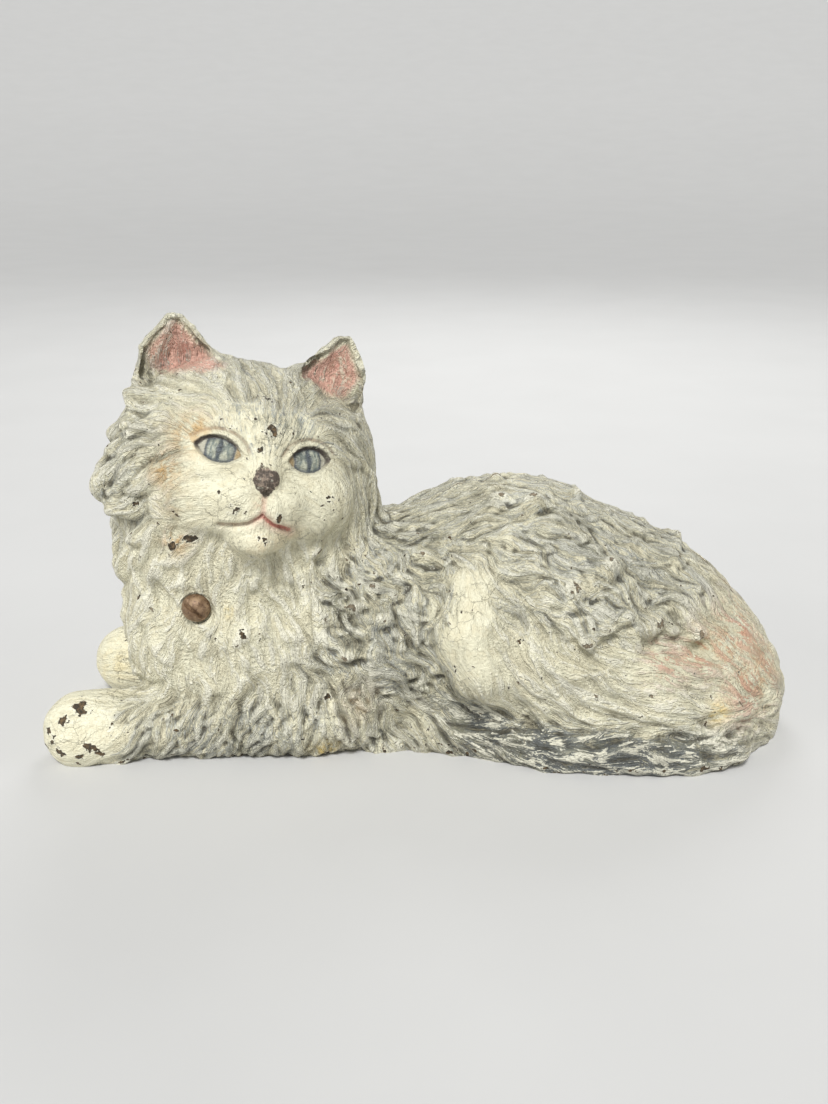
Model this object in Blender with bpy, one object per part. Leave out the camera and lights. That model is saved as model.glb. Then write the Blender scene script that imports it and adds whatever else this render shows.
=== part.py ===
"""Cast iron still bank: a long-haired cat lying down with its head turned to the front.

Two hollow castings meet at an upright parting plane, and one long screw through the chest
draws them together. Coins drop in through a slot just behind the ridge of the back.

Sizes here are in millimetres, and MM turns them into metres. X runs from the paws to the
rump, Y from the front casting to the back casting, and Z up. The origin is on the underside,
below the middle of the bank.
"""

import math

import bmesh
import bpy
from mathutils import Matrix, Vector

MM = 0.001

# Driving dimensions
WALL = 4.0
FLOOR = 4.0
PARTING_Y = 2.0
PARTING_GAP = 0.3
CENTRE = Vector((3.4, -3.5, 0.0))
FAR = 400.0

# How finely the castings are modelled
SKIN_VOXEL = 1.7
HOLLOW_VOXEL = 2.6
SKIN_FACES = 4400
HOLLOW_FACES = 1000

# The long screw, 1/4 inch by 20 threads to the inch, with a slotted round head
SCREW_X = -75.5
SCREW_Z = 60.0
SEAT_Y = -39.0
THREAD_RADIUS = 3.175
HEAD_RADIUS = 6.0
HEAD_HEIGHT = 4.4
SLOT_WIDTH = 1.9
SLOT_DEPTH = 2.4
SLOT_ANGLE = math.radians(-50.0)
SCREW_LENGTH = 60.0
POINT_CHAMFER = 1.0
CLEARANCE = 0.35
RECESS_RADIUS = 7.4
BOSS_RADIUS = 9.0

ORIGIN = Vector((SCREW_X, PARTING_Y, SCREW_Z))
FRONT_BOSS = (-36.0, -22.0)
BACK_BOSS_END = 29.0
TAPPED_END = 23.5

# Coin slot in the back casting: length, width, and where its middle is
SLOT_LENGTH = 34.0
SLOT_GAP = 3.6
SLOT_AT = (22.0, 20.0)

# Lugs on the back casting that locate the front one: low corners, and size along X and Z
LUG_CORNERS = ((22.0, 86.2), (-106.3, 44.0), (130.6, 8.0))
LUG_SIZE = 5.0
LUG_REACH = 5.0
LUG_ROOT = 8.0
LUG_CLEARANCE = 0.5

# The head's own frame: a to the cat's side at the right, b up its brow, c out of its face
HEAD_AT = Vector((-58.5, -12.0, 105.0))
HEAD_YAW = math.radians(17.5)
HEAD_PITCH = math.radians(13.5)
HEAD_ROLL = math.radians(11.5)

# Rounded masses: centre and half sizes
BODY_MASSES = (
    ((-68, -3, 41), (42, 41, 47)),
    ((-58, -2, 80), (42, 34, 30)),
    ((-18, 1, 42), (58, 43, 47)),
    ((30, 2, 45), (60, 45, 50)),
    ((69, 2, 34), (44, 45, 46)),
    ((88, 0, 26), (40, 43, 42)),
    ((98, -3, 12), (42, 43, 37)),
    ((54, -20, 42), (38, 31, 38)),
    ((56, 22, 36), (40, 25, 38)),
)
HEAD_MASSES = (
    ((0, 5, -4), (46, 31, 32)),
    ((0, -12, -5), (50, 26, 30)),
    ((0, -6, 14), (30, 26, 20)),
    ((0, 0, -18), (42, 33, 24)),
    ((0, -34, -2), (38, 22, 22)),
)
FACE_MASSES = (
    ((-7, -13, 29), (10, 8, 10)),
    ((7, -13, 29), (10, 8, 10)),
    ((1, -25, 26), (9, 7, 8)),
    ((0, -3, 30), (6, 9, 9)),
)

# Limbs and tail: points along the middle, each with its radius
NEAR_LEG = (
    ((-121, -35, 10), 14),
    ((-98, -31, 11), 13.5),
    ((-70, -28, 13), 16),
    ((-40, -26, 15), 19),
    ((-12, -18, 18), 20),
)
FAR_LEG = (
    ((-116, 21, 12), 13),
    ((-95, 19, 14), 14),
    ((-70, 16, 16), 16),
)
TAIL = (
    ((131, -12, 9), 11),
    ((122, -31, 8), 11),
    ((98, -42, 7), 11),
    ((73, -43, 7), 11),
    ((50, -41, 6), 10),
    ((31, -34, 5), 9),
    ((15, -27, 4), 6),
)

# Ears: middle of the base, tip, radius at the base, and thickness against width
EARS = (
    ((-26, 24, -8), (-30, 49, -8), 14.5),
    ((25, 24, 1), (29, 48, 1), 14.5),
)
EAR_FLATNESS = 0.42
EAR_TIP_RADIUS = 3.0


def clear_scene():
    for item in list(bpy.data.objects):
        bpy.data.objects.remove(item, do_unlink=True)


def material(name, colour, roughness, metallic):
    made = bpy.data.materials.new(name)
    made.use_nodes = True
    shader = made.node_tree.nodes["Principled BSDF"]
    shader.inputs["Base Color"].default_value = (*colour, 1.0)
    shader.inputs["Roughness"].default_value = roughness
    shader.inputs["Metallic"].default_value = metallic
    return made


def add_object(name, mesh_maker):
    """A new object, with its origin on the screw's axis, from a mesh built in millimetres."""
    bm = bmesh.new()
    mesh_maker(bm)
    bmesh.ops.translate(bm, verts=bm.verts, vec=-ORIGIN)
    bmesh.ops.scale(bm, verts=bm.verts, vec=(MM, MM, MM))
    bmesh.ops.recalc_face_normals(bm, faces=bm.faces)
    mesh = bpy.data.meshes.new(name)
    bm.to_mesh(mesh)
    bm.free()
    item = bpy.data.objects.new(name, mesh)
    item.location = (ORIGIN - CENTRE) * MM
    bpy.context.scene.collection.objects.link(item)
    return item


def head_matrix():
    """Turns the head's frame (a, b, c) into the bank's frame."""
    yaw = Matrix.Rotation(HEAD_YAW, 4, "Z")
    pitch = Matrix.Rotation(-HEAD_PITCH, 4, "X")
    roll = Matrix.Rotation(HEAD_ROLL, 4, "Y")
    upright = Matrix(((1, 0, 0, 0), (0, 0, -1, 0), (0, 1, 0, 0), (0, 0, 0, 1)))
    return Matrix.Translation(HEAD_AT) @ yaw @ pitch @ roll @ upright


def add_mass(bm, frame, centre, half):
    place = frame @ Matrix.Translation(centre) @ Matrix.Diagonal((*half, 1.0))
    bmesh.ops.create_icosphere(bm, subdivisions=4, radius=1.0, matrix=place)


def add_limb(bm, points, shrink):
    """A row of balls joined by cones, thinner by shrink all round."""
    for centre, radius in points:
        size = radius - shrink
        add_mass(bm, Matrix(), centre, (size, size, size))
    for (start, first), (end, second) in zip(points, points[1:]):
        add_cone(bm, Vector(start), Vector(end), first - shrink, second - shrink)


def add_cone(bm, start, end, first, second):
    along = end - start
    turn = along.to_track_quat("Z", "Y").to_matrix().to_4x4()
    bmesh.ops.create_cone(
        bm,
        cap_ends=True,
        segments=32,
        radius1=first,
        radius2=second,
        depth=along.length,
        matrix=Matrix.Translation((start + end) / 2) @ turn,
    )


def add_ear(bm, base, tip, radius):
    """A flattened cone with a rounded tip, in the head's frame."""
    start = Vector(base)
    along = Vector(tip) - start
    side = along.cross(Vector((0, 0, 1))).normalized()
    turn = Matrix((side, side.cross(along).normalized() * -1.0, along.normalized())).transposed()
    squash = Matrix.Diagonal((1.0, EAR_FLATNESS, 1.0, 1.0))
    place = head_matrix() @ Matrix.Translation((start + Vector(tip)) / 2) @ turn.to_4x4() @ squash
    bmesh.ops.create_cone(
        bm,
        cap_ends=True,
        segments=32,
        radius1=radius,
        radius2=EAR_TIP_RADIUS,
        depth=along.length,
        matrix=place,
    )


def cat_form(bm):
    """The whole outside of the cat, as overlapping masses."""
    for centre, half in BODY_MASSES:
        add_mass(bm, Matrix(), centre, half)
    for centre, half in HEAD_MASSES + FACE_MASSES:
        add_mass(bm, head_matrix(), centre, half)
    for points in (NEAR_LEG, FAR_LEG, TAIL):
        add_limb(bm, points, 0.0)
    for base, tip, radius in EARS:
        add_ear(bm, base, tip, radius)


def hollow_form(bm):
    """The space inside the cat: the same masses, each thinner by the wall."""
    for centre, half in BODY_MASSES:
        add_mass(bm, Matrix(), centre, [size - WALL for size in half])
    for centre, half in HEAD_MASSES:
        add_mass(bm, head_matrix(), centre, [size - WALL for size in half])
    add_limb(bm, NEAR_LEG[:-1], WALL)
    add_limb(bm, FAR_LEG, WALL)


def box_maker(low, high):
    def make(bm):
        size = Vector(high) - Vector(low)
        middle = (Vector(high) + Vector(low)) / 2
        place = Matrix.Translation(middle) @ Matrix.Diagonal((*size, 1.0))
        bmesh.ops.create_cube(bm, size=1.0, matrix=place)

    return make


def rod_maker(start_y, end_y, radius, segments=32):
    """A round bar along Y on the screw's axis."""

    def make(bm):
        middle = Matrix.Translation((SCREW_X, (start_y + end_y) / 2, SCREW_Z))
        bmesh.ops.create_cone(
            bm,
            cap_ends=True,
            segments=segments,
            radius1=radius,
            radius2=radius,
            depth=end_y - start_y,
            matrix=middle @ Matrix.Rotation(math.radians(-90.0), 4, "X"),
        )

    return make


def apply_modifiers(item):
    graph = bpy.context.evaluated_depsgraph_get()
    mesh = bpy.data.meshes.new_from_object(item.evaluated_get(graph))
    item.modifiers.clear()
    item.data = mesh


def merge_and_thin(item, voxel, faces):
    """Turns overlapping masses into one smooth skin with about the given number of faces."""
    remesh = item.modifiers.new("merge", "REMESH")
    remesh.mode = "VOXEL"
    remesh.voxel_size = voxel * MM
    smooth = item.modifiers.new("smooth", "SMOOTH")
    smooth.iterations = 6
    apply_modifiers(item)
    thin = item.modifiers.new("thin", "DECIMATE")
    thin.ratio = faces / (2.0 * len(item.data.polygons))
    apply_modifiers(item)


def boolean(item, operation, helper):
    """Joins to, cuts from or keeps within a helper solid, which is left out of the bank."""
    helper.hide_render = True
    helper.display_type = "WIRE"
    step = item.modifiers.new(helper.name, "BOOLEAN")
    step.operation = operation
    step.object = helper
    apply_modifiers(item)


def remove(*helpers):
    for helper in helpers:
        bpy.data.objects.remove(helper, do_unlink=True)


def shape(item, operation, name, maker):
    """One Boolean step with a helper that is needed only once."""
    helper = add_object(name, maker)
    boolean(item, operation, helper)
    remove(helper)


def make_skin():
    skin = add_object("skin", cat_form)
    merge_and_thin(skin, SKIN_VOXEL, SKIN_FACES)
    shape(skin, "INTERSECT", "above_ground", box_maker((-FAR, -FAR, 0.0), (FAR, FAR, FAR)))
    return skin


def make_hollow():
    hollow = add_object("hollow", hollow_form)
    merge_and_thin(hollow, HOLLOW_VOXEL, HOLLOW_FACES)
    shape(hollow, "INTERSECT", "above_floor", box_maker((-FAR, -FAR, FLOOR), (FAR, FAR, FAR)))
    return hollow


def copy_of(item, name):
    twin = item.copy()
    twin.data = item.data.copy()
    twin.name = name
    bpy.context.scene.collection.objects.link(twin)
    return twin


def lug_makers(extra):
    """A box for each lug, larger by extra all round."""
    for low_x, low_z in LUG_CORNERS:
        low = (low_x - extra, PARTING_Y - LUG_REACH - extra, low_z - extra)
        high = (low_x + LUG_SIZE + extra, PARTING_Y + LUG_ROOT, low_z + LUG_SIZE + extra)
        yield box_maker(low, high)


def shell(name, skin, hollow, low_y, high_y, finish, boss):
    """One casting: the skin between two upright planes, hollowed, with its screw boss."""
    half = copy_of(skin, name)
    boolean(half, "DIFFERENCE", hollow)
    shape(half, "INTERSECT", "side", box_maker((-FAR, low_y, -FAR), (FAR, high_y, FAR)))
    shape(half, "UNION", "boss", boss)
    half.data.materials.clear()
    half.data.materials.append(finish)
    return half


def smooth_round(item, degrees):
    item.data.shade_smooth()
    item.data.set_sharp_from_angle(angle=math.radians(degrees))


def make_front_half(skin, hollow, finish):
    edge = PARTING_Y - PARTING_GAP / 2
    boss = rod_maker(*FRONT_BOSS, BOSS_RADIUS)
    half = shell("front_half", skin, hollow, -FAR, edge, finish, boss)
    shape(half, "DIFFERENCE", "recess", rod_maker(-FAR, SEAT_Y, RECESS_RADIUS))
    shape(half, "DIFFERENCE", "hole", rod_maker(-FAR, FAR, THREAD_RADIUS + CLEARANCE))
    for maker in lug_makers(LUG_CLEARANCE):
        shape(half, "DIFFERENCE", "lug_pocket", maker)
    smooth_round(half, 40.0)


def coin_slot(bm):
    middle = Matrix.Translation((*SLOT_AT, FAR / 2 + SCREW_Z))
    size = Matrix.Diagonal((SLOT_LENGTH, SLOT_GAP, FAR, 1.0))
    bmesh.ops.create_cube(bm, size=1.0, matrix=middle @ size)


def make_back_half(skin, hollow, finish):
    edge = PARTING_Y + PARTING_GAP / 2
    boss = rod_maker(edge, BACK_BOSS_END, BOSS_RADIUS)
    half = shell("back_half", skin, hollow, edge, FAR, finish, boss)
    shape(half, "DIFFERENCE", "tapped", rod_maker(-FAR, TAPPED_END, THREAD_RADIUS + CLEARANCE))
    shape(half, "DIFFERENCE", "coin_slot", coin_slot)
    for maker in lug_makers(0.0):
        shape(half, "UNION", "lug", maker)
    smooth_round(half, 40.0)


def screw_profile():
    """(distance along the screw, radius) from the top of the round head to the point."""
    dome = []
    for step in range(9):
        turn = math.radians(90.0) * step / 8
        dome.append((-HEAD_HEIGHT * math.cos(turn), HEAD_RADIUS * math.sin(turn)))
    end = SCREW_LENGTH
    shank = ((0.0, THREAD_RADIUS), (end - POINT_CHAMFER, THREAD_RADIUS))
    return (*dome, *shank, (end, THREAD_RADIUS - POINT_CHAMFER), (end, 0.0))


def screw_form(bm):
    """The screw's profile turned about its axis, which lies along Y."""
    top = SEAT_Y - PARTING_GAP
    points = [Vector((SCREW_X + radius, top + along, SCREW_Z)) for along, radius in screw_profile()]
    corners = [bm.verts.new(point) for point in points]
    edges = [bm.edges.new(pair) for pair in zip(corners, corners[1:])]
    bmesh.ops.spin(
        bm,
        geom=corners + edges,
        cent=(SCREW_X, 0.0, SCREW_Z),
        axis=(0.0, 1.0, 0.0),
        angle=math.radians(360.0),
        steps=32,
        use_merge=True,
    )
    bmesh.ops.remove_doubles(bm, verts=bm.verts, dist=0.001)


def driver_slot(bm):
    """The cut across the screw's head."""
    top = SEAT_Y - PARTING_GAP - HEAD_HEIGHT
    turn = Matrix.Rotation(SLOT_ANGLE, 4, "Y")
    middle = Matrix.Translation((SCREW_X, top, SCREW_Z))
    size = Matrix.Diagonal((SLOT_WIDTH, 2 * SLOT_DEPTH, 3 * HEAD_RADIUS, 1.0))
    bmesh.ops.create_cube(bm, size=1.0, matrix=middle @ turn @ size)


def make_screw(finish):
    screw = add_object("chest_screw", screw_form)
    shape(screw, "DIFFERENCE", "driver_slot", driver_slot)
    screw.data.materials.append(finish)
    smooth_round(screw, 30.0)


def main():
    clear_scene()
    paint = material("aged_paint", (0.52, 0.50, 0.45), 0.55, 0.0)
    rusty_steel = material("rusty_steel", (0.30, 0.15, 0.09), 0.6, 0.7)
    skin = make_skin()
    hollow = make_hollow()
    make_front_half(skin, hollow, paint)
    make_back_half(skin, hollow, paint)
    make_screw(rusty_steel)
    remove(skin, hollow)


main()
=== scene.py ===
"""The looks of the cast iron still bank: a long-haired cat in two hollow castings and one screw.

The cat is sculpted here as a signed distance to rounded masses, turned into a fine mesh, and
its fur is laid on as overlapping tufts that follow a flow across the body. The mesh is then cut
into the two castings. Sizes in the sculpt are in millimetres, in the bank's own frame.
"""

import collections
import math

import bmesh
import bpy
import numpy as np
import openvdb
from mathutils import Matrix, Vector
from mathutils.kdtree import KDTree


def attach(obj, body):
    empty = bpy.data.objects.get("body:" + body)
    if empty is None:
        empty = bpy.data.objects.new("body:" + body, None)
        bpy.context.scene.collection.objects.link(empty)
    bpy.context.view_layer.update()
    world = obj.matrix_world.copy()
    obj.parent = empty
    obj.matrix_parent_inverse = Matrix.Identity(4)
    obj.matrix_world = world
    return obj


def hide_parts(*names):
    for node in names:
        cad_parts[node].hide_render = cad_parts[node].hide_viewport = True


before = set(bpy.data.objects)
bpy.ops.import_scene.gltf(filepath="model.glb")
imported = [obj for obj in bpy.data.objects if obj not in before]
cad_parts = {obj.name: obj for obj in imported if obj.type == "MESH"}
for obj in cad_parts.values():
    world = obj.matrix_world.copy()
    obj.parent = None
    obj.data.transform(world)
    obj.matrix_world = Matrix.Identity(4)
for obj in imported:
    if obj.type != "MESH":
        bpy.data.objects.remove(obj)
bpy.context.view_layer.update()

MM = 0.001
SEED = 11

# The castings: walls, parting and the screw's axis and seat are where the CAD has them
WALL = 4.0
FLOOR = 4.0
PARTING_Y = 2.0
PARTING_GAP = 0.3
SCREW_X = -75.5
SCREW_Z = 60.0
SEAT_Y = -39.0
# Above this height the parting steps back, so that both ears stay on the front casting
STEP_Z = 119.0
STEP_BACK = 11.0
# The middle of the underside, which is the frame's origin
CENTRE = np.array((3.4, -3.5, 0.0))
# Past the end of everything, for cutting shapes
FAR = 400.0
# The base mesh's cell, and the coarser one of the hollow's
VOXEL = 1.6
HOLLOW_VOXEL = 3.0

HEAD_AT = np.array((-58.5, -12.0, 105.0))
HEAD_YAW = math.radians(17.5)
HEAD_PITCH = math.radians(13.5)
HEAD_ROLL = math.radians(11.5)

# Rounded masses: centre and half sizes, the head's in the head's frame
BODY_MASSES = (
    ((-68, -3, 41), (42, 41, 47)),
    ((-63, -2, 73), (49, 34, 30)),
    ((-18, 1, 42), (58, 43, 38)),
    ((35, 2, 45), (56, 45, 50)),
    ((69, 2, 34), (44, 45, 46)),
    ((88, 0, 26), (43, 43, 42)),
    ((98, -3, 12), (45, 43, 37)),
)
HAUNCHES = (
    ((54, -20, 42), (38, 31, 38)),
    ((72, -22, 24), (44, 28, 26)),
    ((56, 22, 36), (40, 25, 38)),
)
HEAD_MASSES = (
    ((0, 5, -4), (46, 31, 32)),
    ((0, -12, -5), (50, 26, 30)),
    ((0, -6, 12), (31, 27, 20)),
    ((0, 0, -18), (42, 33, 24)),
    ((0, -34, -2), (38, 22, 22)),
)
# Forms laid on the head in turn: whether on both sides, centre, half sizes and how softly it joins
FACE_FORMS = (
    (True, (19, -11, 17), (14, 13, 14), 6.0),
    (True, (13, 12, 19), (11, 7, 9), 6.0),
    (False, (0, -14, 21), (19, 12, 16), 5.0),
    (True, (6.6, -12.5, 29), (8.6, 7.2, 8.6), 3.0),
    (False, (1.0, -25.5, 26), (9.0, 6.5, 8.5), 3.5),
    (False, (0, 5, 24), (10, 15, 9.5), 6.0),
    (False, (0.3, -5.0, 33.5), (5.2, 5.5, 5.2), 3.0),
)
# Limbs: points along each, and its radius there
NEAR_LEG = (
    ((-121, -35, 10), 14),
    ((-98, -31, 11), 13.5),
    ((-70, -28, 13), 16),
    ((-40, -26, 15), 19),
    ((-12, -18, 18), 20),
)
FAR_LEG = (
    ((-116, 21, 12), 14),
    ((-95, 19, 14), 14),
    ((-70, 16, 16), 16),
)
TAIL = (
    ((112, -40, 7), 9),
    ((98, -42, 7), 11),
    ((73, -43, 7), 11),
    ((50, -41, 6), 10),
    ((31, -34, 4), 9),
    ((6, -29, 2), 6),
    ((-12, -29, 1), 6),
)
BELLY = (
    ((-16, -18, 6), 12),
    ((34, -22, 8), 15),
)
KNEE = (
    ((19, -34, 66), 9),
    ((20, -38, 52), 12),
    ((24, -38, 36), 11),
)


# ---------------------------------------------------------------- distances


def ellipsoid(p, centre, half):
    scaled = (p - np.array(centre, float)) / np.array(half, float)
    near = np.linalg.norm(scaled, axis=1)
    slope = np.linalg.norm(scaled / np.array(half, float), axis=1)
    return near * (near - 1.0) / np.maximum(slope, 1e-6)


def limb(p, points):
    """Distance to a chain of balls joined by cones."""
    found = np.full(len(p), 1e9)
    for (start, first), (end, second) in zip(points, points[1:]):
        a = np.array(start, float)
        along = np.array(end, float) - a
        t = np.clip((p - a) @ along / (along @ along), 0.0, 1.0)
        gap = np.linalg.norm(p - a - t[:, None] * along, axis=1)
        found = np.minimum(found, gap - (first + t * (second - first)))
    return found


def join(a, b, blend):
    h = np.clip(0.5 + 0.5 * (b - a) / blend, 0.0, 1.0)
    return b + (a - b) * h - blend * h * (1.0 - h)


def cut(a, b, blend):
    """a without b, with a soft edge."""
    return -join(-a, b, blend)


def outline_gap(x, y, corners):
    """Signed distance to a convex outline in the plane."""
    best = np.full(len(x), 1e18)
    inside = np.full(len(x), 1e18)
    (ax, ay), (bx, by), (cx, cy) = corners[:3]
    turn = np.sign((bx - ax) * (cy - ay) - (by - ay) * (cx - ax))
    for (px, py), (qx, qy) in zip(corners, corners[1:] + corners[:1]):
        ex, ey = qx - px, qy - py
        vx, vy = x - px, y - py
        t = np.clip((vx * ex + vy * ey) / (ex * ex + ey * ey), 0.0, 1.0)
        best = np.minimum(best, (vx - ex * t) ** 2 + (vy - ey * t) ** 2)
        inside = np.minimum(inside, turn * (ex * vy - ey * vx))
    return -np.sqrt(best) * np.sign(inside)


def head_axes():
    yaw = Matrix.Rotation(HEAD_YAW, 3, "Z")
    pitch = Matrix.Rotation(-HEAD_PITCH, 3, "X")
    roll = Matrix.Rotation(HEAD_ROLL, 3, "Y")
    upright = Matrix(((1, 0, 0), (0, 0, -1), (0, 1, 0)))
    return np.array(yaw @ pitch @ roll @ upright)


HEAD_AXES = head_axes()


def in_head(p):
    """Points in the head's frame: a to the right, b up the brow, c out of the face."""
    return (p - HEAD_AT) @ HEAD_AXES


def mirrored(q):
    return np.stack([np.abs(q[:, 0]), q[:, 1], q[:, 2]], axis=1)


EAR_OUTLINE = [(38.5, 19.0), (13.0, 31.0), (29.8, 44.2), (31.2, 44.2), (38.0, 34.0)]
EAR_ROUND = 4.0
EAR_LEAN = 0.2
# The left ear lies farther back, and the right ear is narrower
LEFT_EAR_DEPTH = -8.0
RIGHT_EAR_DEPTH = 4.0
RIGHT_EAR_NARROWING = 1.2


def in_ear(q):
    """Distance from the outline of the nearer ear, depth in front of its middle, and height."""
    right = q[:, 0] > 0.0
    root = EAR_OUTLINE[1][0]
    across = np.where(right, root + RIGHT_EAR_NARROWING * (q[:, 0] - root), -q[:, 0])
    middle = np.where(right, RIGHT_EAR_DEPTH, LEFT_EAR_DEPTH) + EAR_LEAN * (q[:, 1] - 34.0)
    return outline_gap(across, q[:, 1], EAR_OUTLINE), q[:, 2] - middle, q[:, 1]


def ears(q):
    """Two upright ears with hollow fronts."""
    flat, front, high = in_ear(q)
    deep = np.abs(front) - np.clip(3.0 - 0.12 * (high - 24.0), 0.4, 4.0)
    outside = np.hypot(np.maximum(flat, 0.0), np.maximum(deep, 0.0))
    solid = outside + np.minimum(np.maximum(flat, deep), 0.0) - EAR_ROUND
    bowl = 1.6 - 0.35 * np.clip(-flat, 0.0, 6.0)
    scoop = np.maximum(flat - 2.2, bowl - front)
    return cut(solid, scoop, 1.4)


def head_distance(p):
    q = in_head(p)
    m = mirrored(q)
    d = np.full(len(p), 1e9)
    for centre, half in HEAD_MASSES:
        d = join(d, ellipsoid(q, centre, half), 9.0)
    for both_sides, centre, half, blend in FACE_FORMS:
        d = join(d, ellipsoid(m if both_sides else q, centre, half), blend)
    return join(d, ears(q), 5.0)


def cat_distance(p):
    d = np.full(len(p), 1e9)
    for centre, half in BODY_MASSES:
        d = join(d, ellipsoid(p, centre, half), 10.0)
    for centre, half in HAUNCHES:
        d = join(d, ellipsoid(p, centre, half), 5.0)
    d = join(d, head_distance(p), 4.5)
    d = join(d, limb(p, NEAR_LEG), 3.5)
    d = join(d, limb(p, FAR_LEG), 3.0)
    d = join(d, limb(p, KNEE), 8.0)
    d = join(d, limb(p, BELLY), 5.0)
    for hollow in HOLLOWS:
        d = cut(d, limb(p, hollow), 5.0)
    d = join(d, limb(p, TAIL), 4.5)
    return np.maximum(d, -2.5 - p[:, 2])


# ---------------------------------------------------------------- base mesh


def grid_points(low, high, step):
    axes = [np.arange(lo, hi + step, step) for lo, hi in zip(low, high)]
    mesh = np.meshgrid(*axes, indexing="ij")
    return np.stack([m.ravel() for m in mesh], axis=1), [len(a) for a in axes]


def in_parts(distance, points, size=200000):
    """The distance at many points, worked out a part at a time."""
    values = np.empty(len(points))
    for start in range(0, len(points), size):
        part = slice(start, start + size)
        values[part] = distance(points[part])
    return values


def distance_surface(distance, low, high, step):
    """Quads over the zero surface of a distance, read finely only near that surface."""
    coarse = 4
    points, shape = grid_points(low, high, step * coarse)
    rough = in_parts(distance, points).reshape(shape)
    for axis in range(3):
        rough = np.repeat(rough, coarse, axis=axis)
    shape = rough.shape
    rough = rough.ravel()
    index = np.nonzero(np.abs(rough) < 3.2 * coarse * step)[0]
    steps = np.stack(np.unravel_index(index, shape), axis=1)
    rough[index] = in_parts(distance, steps * step + low)
    grid = openvdb.FloatGrid(4.0 * step)
    band = np.clip(rough, -4.0 * step, 4.0 * step).astype(np.float32)
    grid.copyFromArray(band.reshape(shape))
    corners, quads = grid.convertToQuads(0.0)
    return corners * step + low, quads


def slope_of(distance, p, reach=0.15):
    parts = []
    for axis in range(3):
        shift = np.zeros(3)
        shift[axis] = reach
        parts.append(distance(p + shift) - distance(p - shift))
    slope = np.stack(parts, axis=1)
    return slope / np.maximum(np.linalg.norm(slope, axis=1, keepdims=True), 1e-9)


def mesh_from(name, points, faces):
    mesh = bpy.data.meshes.new(name)
    mesh.from_pydata(points.tolist(), [], faces.tolist())
    mesh.update()
    return mesh


def points_of(mesh):
    flat = np.empty(len(mesh.vertices) * 3, np.float32)
    mesh.vertices.foreach_get("co", flat)
    return flat.reshape(-1, 3).astype(float)


def set_points(mesh, points):
    mesh.vertices.foreach_set("co", points.astype(np.float32).ravel())
    mesh.update()


def add_object(name, mesh):
    item = bpy.data.objects.new(name, mesh)
    bpy.context.scene.collection.objects.link(item)
    return item


def apply_modifiers(item):
    graph = bpy.context.evaluated_depsgraph_get()
    mesh = bpy.data.meshes.new_from_object(item.evaluated_get(graph))
    item.modifiers.clear()
    item.data = mesh


def subdivide(item, levels=1):
    step = item.modifiers.new("finer", "SUBSURF")
    step.subdivision_type = "CATMULL_CLARK"
    step.levels = levels
    step.render_levels = levels
    apply_modifiers(item)


def base_skin():
    low = np.array((-145.0, -60.0, -5.0))
    high = np.array((150.0, 60.0, 165.0))
    corners, quads = distance_surface(cat_distance, low, high, VOXEL)
    item = add_object("cat_skin", mesh_from("cat_skin", corners, quads))
    subdivide(item)
    points = points_of(item.data)
    for _ in range(2):
        normals = slope_of(cat_distance, points)
        points = points - normals * cat_distance(points)[:, None]
    set_points(item.data, points)
    return item, points, slope_of(cat_distance, points)


# ---------------------------------------------------------------- coat

Kind = collections.namedtuple("Kind", "length width height gap turn coarse medium swirl")

# Kinds of fur: its tufts' length, width, height, spacing and how far one may turn, then the
# height of its broad and of its narrow waves, and how far these swirl
KINDS = {
    "face": Kind(8.0, 4.0, 0.0, 6.0, 0.5, 0.12, 0.06, 0.2),
    "paw": Kind(8.0, 4.0, 0.0, 6.0, 0.5, 0.25, 0.10, 0.3),
    "ear": Kind(9.0, 3.0, 0.5, 4.0, 0.3, 0.5, 0.5, 0.3),
    "crown": Kind(17.0, 4.6, 0.6, 5.0, 0.2, 0.7, 0.5, 0.25),
    "ruff": Kind(26.0, 11.0, 2.5, 8.5, 0.3, 1.0, 0.7, 0.4),
    "mane": Kind(27.0, 6.0, 1.1, 7.0, 0.18, 0.7, 0.7, 0.2),
    "chest": Kind(19.0, 9.0, 1.7, 8.0, 0.45, 1.5, 0.8, 0.5),
    "curl": Kind(10.0, 4.8, 0.9, 5.8, 0.7, 0.65, 0.8, 0.9),
    "back": Kind(11.0, 4.8, 0.8, 6.0, 0.5, 0.55, 0.7, 0.7),
    "haunch": Kind(24.0, 5.0, 0.5, 8.0, 0.2, 0.9, 0.8, 0.35),
    "tail": Kind(26.0, 6.0, 0.8, 8.0, 0.2, 1.0, 0.8, 0.25),
    "leg": Kind(10.0, 3.4, 1.2, 3.4, 0.25, 0.6, 0.6, 0.25),
}

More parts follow.
